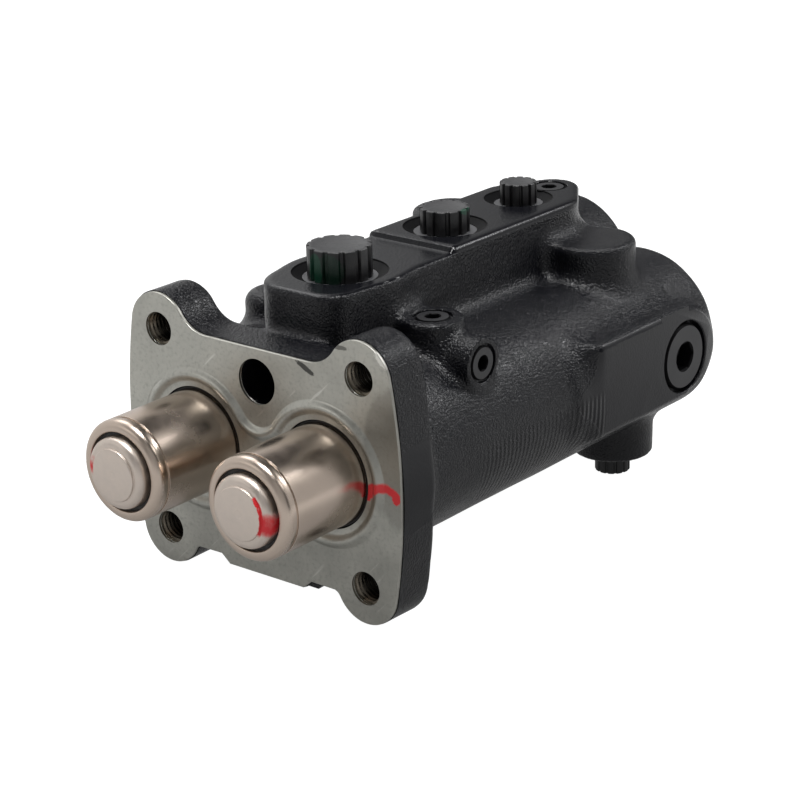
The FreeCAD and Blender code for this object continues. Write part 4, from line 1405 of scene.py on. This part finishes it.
    def front_cutters(self) -> Shell:
        """Bore stacks, ears, centre hole, ports and small plug recesses, none touching another."""
        layout = self.layout
        stack = drilled(*self.bores)
        shells = [lathe(stack, (side.value * layout.bore_x, 0, 0), (0, 1, 0)) for side in Side]
        ear = drilled(self.ear_hole)
        shells += [lathe(ear, (x, 0, z), (0, 1, 0), segments=48) for x, z in layout.ears()]
        hole_r, hole_l, hole_tip = layout.centre_hole_r, 27.5, 31.0
        hole = [(0, 0, 0), (hole_r, 0, 0), (hole_r, hole_l, 0), (0, hole_tip, 0)]
        shells.append(lathe(hole, (0, 0, layout.centre_hole_z), (0, 1, 0), segments=64))
        shells += [port.hole() for port in self.ports]
        mouth_r, head_r, shank_r, lead, head_t, end = 7.5, 6.9, 4.65, -0.4, 1.2, 10.4
        recess = [(0, lead, 0), (mouth_r, lead, 0), (head_r, 0.2, 0), (head_r, head_t, 0)]
        recess += [(shank_r, head_t, 0), (shank_r, end, 0), (0, end, 0)]
        shells += [lathe(recess, face, inward, segments=64) for face, inward in PLUG_SITES.values()]
        return merged(shells)

    def chamber_cutter(self) -> Shell:
        """One stepped bore along X through both side plug holes and the shuttle's bore."""
        pad = self.layout.pad_x
        bore_r, seat_r, thread_r, head_r, mouth_r = 4.05, 6.0, 10.95, 13.8, 14.2
        seat_x, thread_x, head_x, past = 28.5, pad - 14.7, pad - 3.7, 64.0
        right = [(bore_r, seat_x), (seat_r, seat_x), (seat_r, thread_x), (thread_r, thread_x), (thread_r, head_x)]
        right += [(head_r, head_x), (head_r, pad - 0.4), (mouth_r, pad), (15.0, past), (0.0, past)]
        rows = [(r, -x, 0) for r, x in reversed(right)] + [(r, x, 0) for r, x in right]
        return lathe(rows, (0, self.layout.chamber_y, 0), (1, 0, 0))

    def pad_cutter(self) -> Shell:
        """The milled flat of the right pad, with a round corner at its upper front."""
        rear, low, high, step, front, face_top = 185.5, -17.0, 30.0, 150.0, 116.0, 17.8
        corners = [(rear, low, 0), (rear, high, 0), (step, high, 0), (step, face_top, 0)]
        corners += [(front, face_top, 8.0), (front, low, 0)]
        return prism(rounded(corners, steps=10, closed=True), self.layout.pad_x, 66.0)

    def low_cutters(self) -> Shell:
        """The brake port holes from below."""
        mouth_r, thread_r, drill_r, thread_l, drill_l, mouth_z = 6.5, 6.0, 4.0, 16.0, 45.0, -45.0
        rows = [(0, 0, 0), (mouth_r, 0, 0), (thread_r, 1.5, 0), (thread_r, thread_l, 0)]
        rows += [(drill_r, thread_l, 0), (drill_r, drill_l, 0), (0, drill_l, 0)]
        mouths = [(side.value * self.layout.bore_x, self.layout.chamber_y, mouth_z) for side in Side]
        return merged([lathe(rows, mouth, (0, 0, 1), segments=48) for mouth in mouths])

    def paint_faces(self, mesh: bpy.types.Mesh) -> None:
        """Gives the spotfaces and the inner bores their own finishes, by where each face lies and looks. The
        spotfaces' steep walls get a near-black finish, which is painted shade.

        Args:
            mesh: the machined casting.
        """
        mesh.materials.clear()
        for material in (self.finishes.paint, self.finishes.floor, self.finishes.bore, self.finishes.shade):
            mesh.materials.append(material)
        x, y, z = face_values(mesh, "center").T.astype(float) / MM
        level = np.abs(face_values(mesh, "normal")[:, 2]) > self.level_cosine
        kind = np.full(len(mesh.polygons), Wear.PAINT.value, np.int32)
        rim, under_face, floor_depth, thread_depth = 0.6, 0.02, 2.3, 2.1
        for port in self.ports:
            reach = np.hypot(x, y - port.y)
            sunk = (z > port.face_z - floor_depth) & (z < port.face_z - under_face)
            near = (reach < port.wide + rim) & sunk
            kind[near & level] = Wear.FLOOR.value
            # the spotface's steep walls take the near-black finish: painted shade
            kind[near & ~level] = Wear.WALL.value
            kind[(reach < port.thread + rim / 2) & (z < port.face_z - thread_depth)] = Wear.BORE.value
        gland_r, (front, rear) = self.bores[0][0], self.finished_y
        for side in Side:
            reach = np.hypot(x - side.value * self.layout.bore_x, z)
            kind[(reach < gland_r + 0.2) & (y > front) & (y < rear)] = Wear.BORE.value
        mesh.polygons.foreach_set("material_index", kind)

    def build(self) -> None:
        """Builds the casting and puts it in place of its node."""
        self.outline_distance()
        made = piece("casting_skin", self.net())
        face, front, reach = self.layout.plate_t, -5.0, 70.0
        block = np.array([(front, -reach), (face, -reach), (face, reach), (front, reach)])
        cutters = [prism(block, -reach, reach), self.pad_cutter(), self.pad_cutter().mirrored()]
        for cutter in (*cutters, self.front_cutters(), self.chamber_cutter(), self.low_cutters()):
            carve(made, cutter)
        shade(made.data, 38.0)
        self.paint_faces(made.data)
        settle(made, "housing", "black_paint", self.finishes.paint, "valve_body")


PLUG_SITES: dict[str, tuple[Point, Point]] = {
    "rear_ridge_plug": ((0.0, 166.0, 56.5), (0.0, 0.0, -1.0)),
    "front_top_plug": ((32.5, 54.3, 41.5), (0.0, 0.0, -1.0)),
    "front_side_plug": ((54.0, 54.3, 28.5), (-1.0, 0.0, 0.0)),
}


@dataclass
class FacePlate:
    """The pressed sheet over the flange, with its bead round both bores, and the threads behind its holes."""

    layout: Layout
    finishes: Finishes
    bore_r: float = 19.3
    hole_r: float = 6.2
    bead_r: float = 23.5
    valley_z: float = 18.9
    bead_h: float = 1.5
    bead_half: float = 2.8
    thread_in: float = 5.2
    thread_out: float = 5.95
    thread_wall: float = 6.02
    thread_y: Pair = (1.25, 17.8)
    pitch: float = 1.75

    def bead_loop(self, offset: float, count: int = 44) -> Array:
        """A figure of eight at an offset from the bead's middle: two lobe arcs and two hollow valley arcs."""
        bore = self.layout.bore_x
        lobe_r = self.bead_r + offset
        reach = math.hypot(bore, self.valley_z)
        valley_r = reach - lobe_r
        limit = math.pi - math.atan2(self.valley_z, bore)
        lobe = np.linspace(limit, -limit, 3 * count, endpoint=False)
        right = np.stack([bore + lobe_r * np.cos(lobe), lobe_r * np.sin(lobe)], axis=1)
        low = math.atan2(self.valley_z, bore)
        dip = np.linspace(low, math.pi - low, count, endpoint=False)
        bottom = np.stack([valley_r * np.cos(dip), valley_r * np.sin(dip) - self.valley_z], axis=1)
        half = np.concatenate([right, bottom])
        return np.concatenate([half, -half])

    def rise(self, offset: Array) -> Array:
        """Height of the bead at an offset from its middle: half a cosine wave, fuller at the crown."""
        share = np.clip(np.abs(offset) / self.bead_half, 0, 1)
        wave = 0.5 + 0.5 * np.cos(math.pi * share)
        return self.bead_h * wave**0.85

    def circle(self, x: float, z: float, radius: float, count: int) -> Array:
        """A round hole's edge."""
        turn = turns(count)
        return np.stack([x + radius * np.cos(turn), z + radius * np.sin(turn)], axis=1)

    def edge_rows(self, loop: Array) -> Array:
        """Rows over one cut edge, front to back, its corners broken by a tenth or so.

        Args:
            loop: the edge in X and Z, with the sheet on its right.

        Returns:
            One row of points for each step over the edge.
        """
        steps = ((-0.22, 0.0), (-0.07, 0.06), (0.0, 0.2), (0.0, 1.05), (-0.1, self.layout.plate_t))
        return np.array([at_depth(shifted(loop, inward), y) for inward, y in steps])

    def sheet(self) -> Shell:
        """The sheet: flat areas filled between loops, a bead of rows at rising offsets, and rounded cut edges.

        Returns:
            The closed surface.
        """
        layout = self.layout
        outline = layout.outline(1.0)
        bores = [self.circle(side.value * layout.bore_x, 0.0, self.bore_r, 120) for side in Side]
        holes = [self.circle(x, z, self.hole_r, 56) for x, z in layout.ears()]
        holes.append(self.circle(0.0, layout.centre_hole_z, layout.centre_hole_r, 64))
        offsets = np.linspace(-self.bead_half, self.bead_half, 19)
        bead = [self.bead_loop(offset) for offset in offsets]
        edges = [self.edge_rows(outline)] + [self.edge_rows(loop[::-1]) for loop in bores + holes]
        points, quads, triangles, start = [], [], [], 0
        for rows in edges:
            points.append(rows.reshape(-1, 3))
            quads.append(grid_quads(*rows.shape[:2], False) + start)
            start += rows.shape[0] * rows.shape[1]
        for depth, edge in ((0.0, 0), (layout.plate_t, -1)):
            rims = [rows[edge][:, [0, 2]] for rows in edges]
            outer, inner = [rims[0], *rims[3:]], rims[1:3]
            for loops in ([*outer, bead[-1]], [*inner, bead[0]]):
                flat, faces = filled(loops)
                points.append(at_depth(flat, depth))
                triangles.append((faces if depth else faces[:, ::-1]) + start)
                start += len(flat)
            rows = np.array([at_depth(loop, depth - height) for loop, height in zip(bead, self.rise(offsets))])
            points.append(rows.reshape(-1, 3))
            strip = grid_quads(*rows.shape[:2], False) + start
            quads.append(strip if depth else strip[:, ::-1])
            start += rows.shape[0] * rows.shape[1]
        return welded(np.concatenate(points), np.concatenate(quads), np.concatenate(triangles)).outwards()

    def threads(self) -> Shell:
        """The flange's four threads: a tube whose inner radius follows a sharp wave that climbs with the turn.

        Returns:
            The four closed surfaces.
        """
        rows = np.arange(*self.thread_y, self.pitch / 8)
        turn = turns(48)
        phase = (rows[:, None] / self.pitch + turn[None, :] / (2 * math.pi)) % 1
        crest = np.clip(1.25 - 2.5 * np.abs(phase - 0.5), 0, 1)
        inner = self.thread_out - (self.thread_out - self.thread_in) * crest
        wall = np.full((1, len(turn)), self.thread_wall)
        radii = np.concatenate([inner, wall, wall])
        heights = np.concatenate([rows, [rows[-1], rows[0]]])
        return merged([turned(radii, heights, (x, 0, z), (0, 1, 0), closed=True) for x, z in self.layout.ears()])

    def build(self) -> None:
        """Builds the plate and the threads."""
        plate = piece("face_plate_pressed", self.sheet(), 30.0)
        settle(plate, "housing", "plate_steel", self.finishes.plate, "face_plate")
        threads = piece("flange_threads", self.threads(), 60.0)
        settle(threads, "housing", "black_paint", self.finishes.thread)


@dataclass(frozen=True)
class Coil:
    """A coil spring: its name, its helix's radius, its wire, its turns, its two seats, and what pushes it."""

    name: str
    mean_r: float
    wire: float
    coils: float
    front: float
    rear: float
    pushed_by: str | None = None


@dataclass
class Circuit:
    """The moving stack of one circuit: sleeve, button, rings, springs and spool."""

    side: Side
    layout: Layout
    finishes: Finishes
    sleeve_r: float = 18.0
    nose_y: float = -38.2
    nose_r: float = 2.8
    mouth_r: float = 14.1
    button_r: float = 12.6
    shoulder_y: float = -41.2
    disc_r: float = 9.3
    disc_y: float = -42.0
    seat_gap: float = 0.1
    squashed: float = 0.38
    coils: tuple[Coil, ...] = (
        Coil("return", 18.2, 2.6, 6.5, 34.3, 83.0, "piston"),
        Coil("spool", 6.2, 1.6, 7.5, 140.3, 176.0, "spool"),
        Coil("metering", 8.6, 2.0, 6.5, -6.0, 26.0),
    )

    @property
    def x(self) -> float:
        """Where the circuit's axis lies."""
        return self.side.value * self.layout.bore_x

    def named(self, name: str) -> str:
        """A name with the side before it."""
        return f"{self.side.label}_{name}"

    def ring(self, name: str, profile: list[Point], segments: int, sharp: float, closed: bool = True) -> Object:
        """A turned piece on this circuit's axis."""
        return piece(self.named(name), lathe(profile, (self.x, 0, 0), (0, 1, 0), closed, segments), sharp)

    def sleeve(self) -> None:
        """The ground sleeve: a closed profile with a rounded nose, a fine groove and a stop collar."""
        r, groove_r, collar_r, seal_r, inner_r, clip_r = self.sleeve_r, self.sleeve_r - 0.45, 21.0, 18.5, 15.0, 12.65
        profile = [
            (self.mouth_r, self.nose_y, 0.45), (r, self.nose_y, self.nose_r), (r, -33.8, 0.12),
            (groove_r, -33.8, 0.1), (groove_r, -32.9, 0.1), (r, -32.9, 0.12), (r, 24.3, 0.2),
            (collar_r, 24.3, 0.4), (collar_r, 27.3, 0.1), (seal_r, 27.3, 0.1), (seal_r, 31.3, 0.1),
            (collar_r, 31.3, 0.1), (collar_r, 34.3, 0.4), (inner_r, 34.3, 0.4), (inner_r, -12.0, 0.2),
            (clip_r, -12.0, 0.3), (clip_r, -33.2, 0.2), (self.mouth_r, -33.2, 0.2),
        ]
        steel = Metal(
            self.named("sleeve_steel"),
            (0.585, 0.49, 0.415),
            0.24,
            shades=(0.94, 1.06),
            drift=(0.04, 0.04),
            marks=0.0016,
            rings=2500.0,
            depths=5200.0,
            centre=(self.x, 0.0, 0.0),
            matte=0.14,
            matte_y=(self.nose_y, self.nose_y + self.nose_r),
        )
        made = self.ring("sleeve_ground", profile, 160, 25.0)
        material = steel.material(self.finishes.effects)
        settle(made, self.named("piston"), "ground_steel", material, self.named("piston_sleeve"))

    def button(self) -> None:
        """The push button: a rounded shoulder, a raised disc, a clip groove and a socket behind."""
        r, groove_r, socket_r = self.button_r, self.button_r - 1.4, 5.3
        profile = [
            (0, self.disc_y + 0.04, 0), (1.2, self.disc_y + 0.04, 0.1), (1.5, self.disc_y, 0.1),
            (self.disc_r, self.disc_y, 0.4), (self.disc_r, self.shoulder_y, 0.22),
            (r, self.shoulder_y, 2.3), (r, -11.8, 0.1), (groove_r, -11.8, 0.1), (groove_r, -10.2, 0.1),
            (r, -10.2, 0.1), (r, -6.0, 0.4), (socket_r, -6.0, 0.4), (socket_r, -26.0, 0.3),
            (0, -26.0, 0),
        ]
        centre = (self.x, 0.0, 0.0)
        steel = Metal(
            self.named("button_steel"),
            (0.68, 0.6, 0.535),
            0.44,
            cloud=(260.0, 1.6),
            shades=(0.91, 1.09),
            marks=0.006,
            rings=5200.0,
            depths=3000.0,
            centre=centre,
        )
        inner, outer = self.disc_r + 0.1, r + 2.0
        marks = (RingMark(centre, inner, outer, 174.0, 15.0, RED),)
        if self.side is Side.RIGHT:
            line = RingMark(centre, self.disc_r - 0.1, self.disc_r + 0.9, 5.0, 44.0, RED, 0.5, 0.2)
            marks = (line, RingMark(centre, inner, outer, -10.0, 19.0, RED, 0.14))
        made = self.ring("button_turned", profile, 144, 25.0, False)
        material = steel.material(self.finishes.effects, marks)
        settle(made, self.named("button"), "button_steel", material, self.named("push_button"))

    def wiper(self) -> None:
        """The wiper ring: a rubber lip on the sleeve in a stiff outer ring."""
        lip_r, outer_r, rear_y = self.sleeve_r + 0.06, 23.9, 7.1
        profile = [
            (lip_r, 0.7, 0.1), (18.6, 0.7, 0.1), (19.5, 2.6, 0.4), (20.8, 2.6, 0.4), (21.1, 1.35, 0.2),
            (outer_r, 1.35, 0.2), (outer_r, rear_y, 0.2), (18.7, rear_y, 0.2), (18.4, 4.2, 0.3),
            (lip_r, 3.2, 0.1),
        ]
        made = self.ring("wiper_lip", profile, 120, 40.0)
        settle(made, "housing", "seal_rubber", self.finishes.rubber, self.named("wiper_ring"))

    def wound(self, coil: Coil) -> Object:
        """A round-wire spring with a closed, nearly flat turn at each end.

        Its middle is a helix: angle grows evenly, and the climb follows the working coils.

        Args:
            coil: the spring's sizes.

        Returns:
            The spring's object.
        """
        share = np.linspace(0, 1, int(coil.coils * 30))
        turn = share * coil.coils * 2 * math.pi
        dead = 0.9 / coil.coils
        flat = coil.wire * 1.02 * 0.9
        middle = coil.rear - coil.front - coil.wire - 2 * flat - 2 * self.seat_gap
        climb = np.clip((share - dead) / (1 - 2 * dead), 0, 1)
        ends = np.clip(share / dead, 0, 1) + np.clip((share - 1 + dead) / dead, 0, 1)
        y = coil.front + self.seat_gap + coil.wire / 2 + flat * ends + middle * climb
        radial = np.column_stack([np.cos(turn), np.zeros_like(turn), np.sin(turn)])
        path = radial * coil.mean_r + np.column_stack([np.full_like(y, self.x), y, np.zeros_like(y)])
        return piece(self.named(f"{coil.name}_coil"), tube(path, radial, coil.wire / 2), 50.0)

    def springs(self) -> None:
        """The return, spool and metering springs, each soft between the two pieces that it pushes apart."""
        for coil in self.coils:
            made = self.wound(coil)
            if coil.pushed_by:
                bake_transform(made)
            else:
                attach(made, "housing")
                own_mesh(made)
            made.data.materials.append(self.finishes.spring)
            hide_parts(self.named(f"{coil.name}_spring"))
            LOG.info("%s is soft, %d faces", made.name, len(made.data.polygons))

    def build(self) -> None:
        """Builds the circuit's pieces."""
        self.sleeve()
        self.button()
        self.wiper()
        self.springs()


def turned_rows(rows: list[Row], count: int, base: Point, axis: Point, drop: float = 0.0) -> Shell:
    """A surface round an axis from rows whose radius is one number or follows the turn.

    Args:
        rows: radius and height of each row.
        count: points round each row.
        base: where the axis starts.
        axis: its direction.
        drop: how far along the axis all of it is moved.

    Returns:
        The closed surface.
    """
    radii = np.array([np.broadcast_to(radius, (count,)) for radius, _ in rows])
    return turned(radii, np.array([height for _, height in rows]) + drop, base, axis)


@dataclass
class FlutedCap:
    """A screw-in transport cap with finger ribs."""

    name: str
    base: Point
    axis: Point
    head_r: float
    head_l: float
    shank_r: float
    material: Material
    groove: float = 1.05
    shank_l: float = 9.0
    count: int = 12
    share: float = 0.2
    foot: float = 0.25
    edge: float = 0.45
    dish: float = 0.12

    def ribs(self, turn: Array) -> Array:
        """Depth of the grooves round the head: a flat-bottomed hollow at the middle of each pitch."""
        phase = np.abs((turn * self.count / (2 * math.pi)) % 1 - 0.5)
        return self.groove * smooth_step(1.8 * (1 - phase / self.share))

    def build(self) -> None:
        """Builds the cap: shank, fluted head with a rounded rim, and a top that is a little dished."""
        turn = turns(self.count * 20)
        cut = self.ribs(turn)
        rows = [(0.0, -self.shank_l), (self.shank_r, -self.shank_l), (self.shank_r, 0.0)]
        rows += [(self.head_r - self.foot - cut, 0.0), (self.head_r - cut, self.foot)]
        for angle in np.linspace(0, math.pi / 2, 6):
            rim = self.head_r - self.edge * (1 - math.cos(angle))
            rows.append((rim - cut, self.head_l - self.edge * (1 - math.sin(angle))))
        flat_r = self.head_r - self.edge - self.groove - 0.5
        dished = self.head_l - self.dish
        rows += [(flat_r, self.head_l), (flat_r - 0.3, dished), (1.0, dished), (0.0, dished)]
        made = piece(self.name + "_ribbed", turned_rows(rows, len(turn), self.base, self.axis), 38.0)
        settle(made, "housing", "cap_plastic", self.material, self.name)


@dataclass(frozen=True)
class PlugSize:
    """A plug's head and shank, its socket across flats and deep, and its rim's chamfer."""

    head_r: float
    head_t: float
    shank_r: float
    shank_l: float
    flats: float
    depth: float
    chamfer: float


LARGE_PLUG = PlugSize(head_r=12.6, head_t=2.0, shank_r=10.9, shank_l=11.0, flats=10.0, depth=6.0, chamfer=0.8)
SMALL_PLUG = PlugSize(head_r=6.0, head_t=1.0, shank_r=4.6, shank_l=8.0, flats=5.0, depth=4.0, chamfer=0.5)


@dataclass
class SocketPlug:
    """A flush plug with a hexagon socket, whose rim, chamfer and socket walls wear a near-black finish that is painted
    shade.
    """

    name: str
    face: Point
    inward: Point
    size: PlugSize
    material: Material
    shade: Material
    drop: float = 0.2

    def build(self) -> None:
        """Builds the plug: rings that turn from round to hexagonal at the socket's mouth."""
        turn, size = turns(120), self.size
        hexagon = size.flats / 2 / np.cos((turn % (math.pi / 3)) - math.pi / 6)
        total, r = size.head_t + size.shank_l, size.head_r
        rows = [
            (0.0, total),
            (size.shank_r - 0.5, total),
            (size.shank_r, total - 0.5),
            (size.shank_r, size.head_t),
            (r - 0.1, size.head_t),
            (r, size.head_t - 0.1),
            (r, size.chamfer * 1.5),
            (r - size.chamfer, 0.0),
            (np.maximum(hexagon, size.flats / 2 * 1.165), 0.0),
            (hexagon, size.flats * 0.05),
            (hexagon, size.depth),
            (hexagon * 0.8, size.depth),
            (0.0, size.depth + size.flats * 0.16),
        ]
        made = piece(self.name + "_turned", turned_rows(rows, len(turn), self.face, self.inward, self.drop), 30.0)
        made.data.materials.append(self.material)
        made.data.materials.append(self.shade)
        # steep faces (rim, chamfer, socket walls) take the near-black finish: painted shade
        steep = np.abs(face_values(made.data, "normal") @ np.array(self.inward, np.float32)) < 0.9
        made.data.polygons.foreach_set("material_index", steep.astype(np.int32))
        settle(made, "housing", "plug_steel", self.material, self.name)


@dataclass
class Fittings:
    """The caps and plugs in the casting."""

    layout: Layout
    finishes: Finishes

    def caps(self) -> None:
        """The three ridge caps and the two brake port caps."""
        effects = self.finishes.effects
        patch = Dab((-1.6, 33.6, 57.0), (3.4, 4.0, 6.6), GREEN, 0.5, 2.0)
        wash = Dab((3.6, 33.6, 57.0), (6.2, 6.0, 6.4), scaled(GREEN, 0.35), 0.7, 2.0)
        touch = Dab((9.0, 104.0, 63.0), (1.6, 3.4, 1.6), GREEN, 0.8, 2.0)
        supply = CapPlastic("supply_cap_plastic", top=63.8, dabs=(wash, patch)).material(effects)
        outlet = CapPlastic("outlet_cap_plastic", top=63.3, dabs=(touch,)).material(effects)
        plain = CapPlastic("cap_plastic_black", top=62.6).material(effects)
        rows = (
            ("supply_port_cap", 44.4, 52.5, 64.0, 11.35, 10.1, supply),
            ("outlet_port_cap", 102.6, 54.5, 63.5, 9.0, 8.1, outlet),
            ("return_port_cap", 146.6, 54.5, 62.8, 6.9, 6.1, plain),
        )
        for name, y, floor, top, head_r, shank_r, material in rows:
            FlutedCap(name, (0, y, floor), (0, 0, 1), head_r, top - floor, shank_r, material).build()
        for side in Side:
            base = (side.value * self.layout.bore_x, self.layout.chamber_y, -44.0)
            FlutedCap(f"{side.label}_brake_port_cap", base, (0, 0, -1), 6.7, 8.0, 5.9, plain, 0.5).build()

    def plugs(self) -> None:
        """The two large side plugs and the three small ones."""
        coats = (self.finishes.plug, self.finishes.shade)
        for side in Side:
            face = (side.value * self.layout.pad_x, self.layout.chamber_y, 0.0)
            inward = (-float(side.value), 0.0, 0.0)
            SocketPlug(f"{side.label}_side_plug", face, inward, LARGE_PLUG, *coats).build()
        for name, (face, inward) in PLUG_SITES.items():
            SocketPlug(name, face, inward, SMALL_PLUG, *coats).build()

    def build(self) -> None:
        """Builds the caps and plugs."""
        self.caps()
        self.plugs()


@dataclass
class InnerPieces:
    """The hidden pieces that keep their own solids and get a better finish."""

    finishes: Finishes

    def build(self) -> None:
        """Dresses every node that stays."""
        wear = {
            "guide_bushing": self.finishes.bronze,
            "piston_seal": self.finishes.rubber,
            "button_seal": self.finishes.rubber,
            "button_circlip": self.finishes.spring,
            "bore_washer": self.finishes.inner,
            "spool_collar": self.finishes.inner,
            "control_spool": self.finishes.inner,
        }
        names = {f"{side.label}_{name}": material for side in Side for name, material in wear.items()}
        names |= {"side_plug_seals": self.finishes.rubber}
        names |= {"equalising_shuttle": self.finishes.inner, "shuttle_seats": self.finishes.bronze}
        for name, material in names.items():
            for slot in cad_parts[name].material_slots:
                slot.material = material
            LOG.info("%s keeps its solid and wears %s", name, material.name)


@dataclass(frozen=True)
class Softbox:
    """A soft rectangular light, in metres and watts."""

    name: str
    place: Point
    target: Point
    size: Pair
    power: float
    colour: Colour


@dataclass
class Studio:
    """The floor, the soft lights and the camera at the photograph's viewing angle."""

    azimuth: float = 39.87
    elevation: float = 20.15
    roll: float = 1.68
    focal_px: float = 2527.42
    frame_px: float = 800.0
    shift: Point = (-47.21, 19.07, 854.67)
    floor_z: float = -52.0
    floor_shown: tuple[Colour, Colour] = ((0.2, 0.2, 0.2), (0.22, 0.22, 0.22))
    floor_unseen: Colour = (0.12, 0.12, 0.12)
    glow_y: float = 90.0
    floor_glow: tuple[float, float] = (0.27, 0.62)
    floor_glow_span: tuple[float, float] = (100.0, 330.0)
    lobes: tuple[tuple[Point, float, float], ...] = (
        ((-0.95, 0.0, 0.3), 0.6, 0.65),
        ((0.6, 0.72, 0.15), 0.72, 0.55),
        ((-0.62, 0.72, 0.25), 0.8, 0.16),
        ((0.33, 0.74, 0.58), 0.93, 0.55),
        ((-0.58, 0.25, 0.77), 0.955, 2.4),
        ((0.02, -0.03, 1.0), 0.972, 20.0),
        ((-0.1, 0.6, 0.8), 0.55, 0.06),
        ((-0.6, -0.72, 0.1), 0.2, 0.1),
        ((0.68, -0.68, 0.26), 0.75, 0.35),
    )
    backdrop: float = 1.05
    softboxes: tuple[Softbox, ...] = (
        Softbox("right_softbox", (0.75, 0.25, 0.8), (0.0, 0.08, 0.0), (0.3, 0.3), 0.8, (1.0, 0.99, 0.97)),
        Softbox("rear_softbox", (0.25, 0.46, 0.4), (0.03, 0.04, 0.02), (0.2, 0.16), 0.85, (0.98, 0.99, 1.0)),
        Softbox("front_softbox", (-0.5, -1.0, 0.5), (0.0, 0.0, 0.0), (0.6, 0.5), 1.2, (1.0, 0.985, 0.96)),
    )

    def camera(self) -> None:
        """Sets the camera from its angles: rows right, down and ahead make its turn, and the shift its place."""
        a, e, r = (math.radians(v) for v in (self.azimuth, self.elevation, self.roll))
        back = np.array([math.sin(a) * math.cos(e), -math.cos(a) * math.cos(e), math.sin(e)])
        right = np.cross(-back, [0.0, 0.0, 1.0])
        right /= np.linalg.norm(right)
        down = np.cross(-back, right)
        rows = np.array([math.cos(r) * right + math.sin(r) * down, math.cos(r) * down - math.sin(r) * right, -back])
        eye = -rows.T @ np.array(self.shift)
        turn = Matrix(np.array([rows[0], -rows[1], -rows[2]]).T.tolist()).to_4x4()
        data = bpy.data.cameras.new("camera")
        data.sensor_width = 36.0
        data.lens = self.focal_px / self.frame_px * data.sensor_width
        data.clip_end = 20.0
        made = bpy.data.objects.new("camera", data)
        bpy.context.scene.collection.objects.link(made)
        made.matrix_world = Matrix.Translation(Vector(eye * MM)) @ turn
        bpy.context.scene.camera = made

    def floor(self) -> None:
        """A wide floor under the lowest point.

        The camera sees it white. The object is lit by a dim glow, which grows with distance from the object's middle;
        the dimmer glow near the object is a painted shadow of the object on the floor.
        """
        reach, below = 3.0, 0.0002
        z = self.floor_z * MM - below
        mesh = bpy.data.meshes.new("floor")
        corners = [(-reach, -reach, z), (reach, -reach, z), (reach, reach, z), (-reach, reach, z)]
        mesh.from_pydata(corners, [], [(0, 1, 2, 3)])
        made = bpy.data.objects.new("floor", mesh)
        bpy.context.scene.collection.objects.link(made)
        material, w, shader = new_material("floor_pale")
        seen = w.seen()
        shown = w.tint(w.noise(w.place(), 3.0, 2.0), *self.floor_shown)
        # dimmer glow near the object's middle: painted shadow on the floor
        away = w.vector_maths("DISTANCE", w.place(), (0.0, self.glow_y * MM, z))
        around = w.spread(away, *(reach * MM for reach in self.floor_glow_span), *self.floor_glow)
        inputs = {
            "Base Color": w.tint(seen, self.floor_unseen, shown),
            "Roughness": 0.9,
            "Specular IOR Level": 0.0,
            "Emission Color": WHITE,
            "Emission Strength": w.blend(seen, around, 1.0),
        }
        w.feed(shader, inputs)
        mesh.materials.append(material)

    def world(self) -> None:
        """A white backdrop for the camera, and for the object soft lobes of light round set directions.

        Each lobe adds its strength where the cosine to its direction passes its edge, and is full at 0.6 of the rest.
        """
        world = bpy.data.worlds.new("studio")
        bpy.context.scene.world = world
        world.use_nodes = True
        w = Wiring(world.node_tree)
        toward = w.add("ShaderNodeTexCoord", {}).outputs["Generated"]
        level = 0.0
        for direction, edge, more in self.lobes:
            aim = w.vector_maths("DOT_PRODUCT", toward, Vector(direction).normalized())
            level = w.plus(level, w.spread(aim, edge, edge + 0.6 * (1.0 - edge), 0.0, more))
        strength = w.blend(w.seen(), level, self.backdrop)
        w.feed(world.node_tree.nodes["Background"], {"Strength": strength, "Color": WHITE})

    def light(self, softbox: Softbox) -> None:
        """Places a soft rectangular light that the camera doesn't see, turned to its target."""
        data = bpy.data.lights.new(softbox.name, "AREA")
        data.shape = "RECTANGLE"
        data.size, data.size_y = softbox.size
        data.energy = softbox.power
        data.color = softbox.colour
        made = bpy.data.objects.new(softbox.name, data)
        bpy.context.scene.collection.objects.link(made)
        ahead = Vector(softbox.target) - Vector(softbox.place)
        turn = ahead.to_track_quat("-Z", "Y").to_matrix().to_4x4()
        made.matrix_world = Matrix.Translation(Vector(softbox.place)) @ turn
        made.visible_camera = False

    def build(self) -> None:
        """Sets up the studio."""
        self.camera()
        self.floor()
        self.world()
        for softbox in self.softboxes:
            self.light(softbox)
        bpy.context.scene.view_settings.view_transform = "Standard"


def main() -> None:
    """Builds the studio and every sub-assembly, in order."""
    logging.basicConfig(level=logging.INFO, format="%(message)s")
    layout = Layout()
    finishes = Finishes(Effects())
    Studio().build()
    Casting(layout, finishes).build()
    FacePlate(layout, finishes).build()
    for side in Side:
        Circuit(side, layout, finishes).build()
    Fittings(layout, finishes).build()
    InnerPieces(finishes).build()


if __name__ == "__main__":
    main()
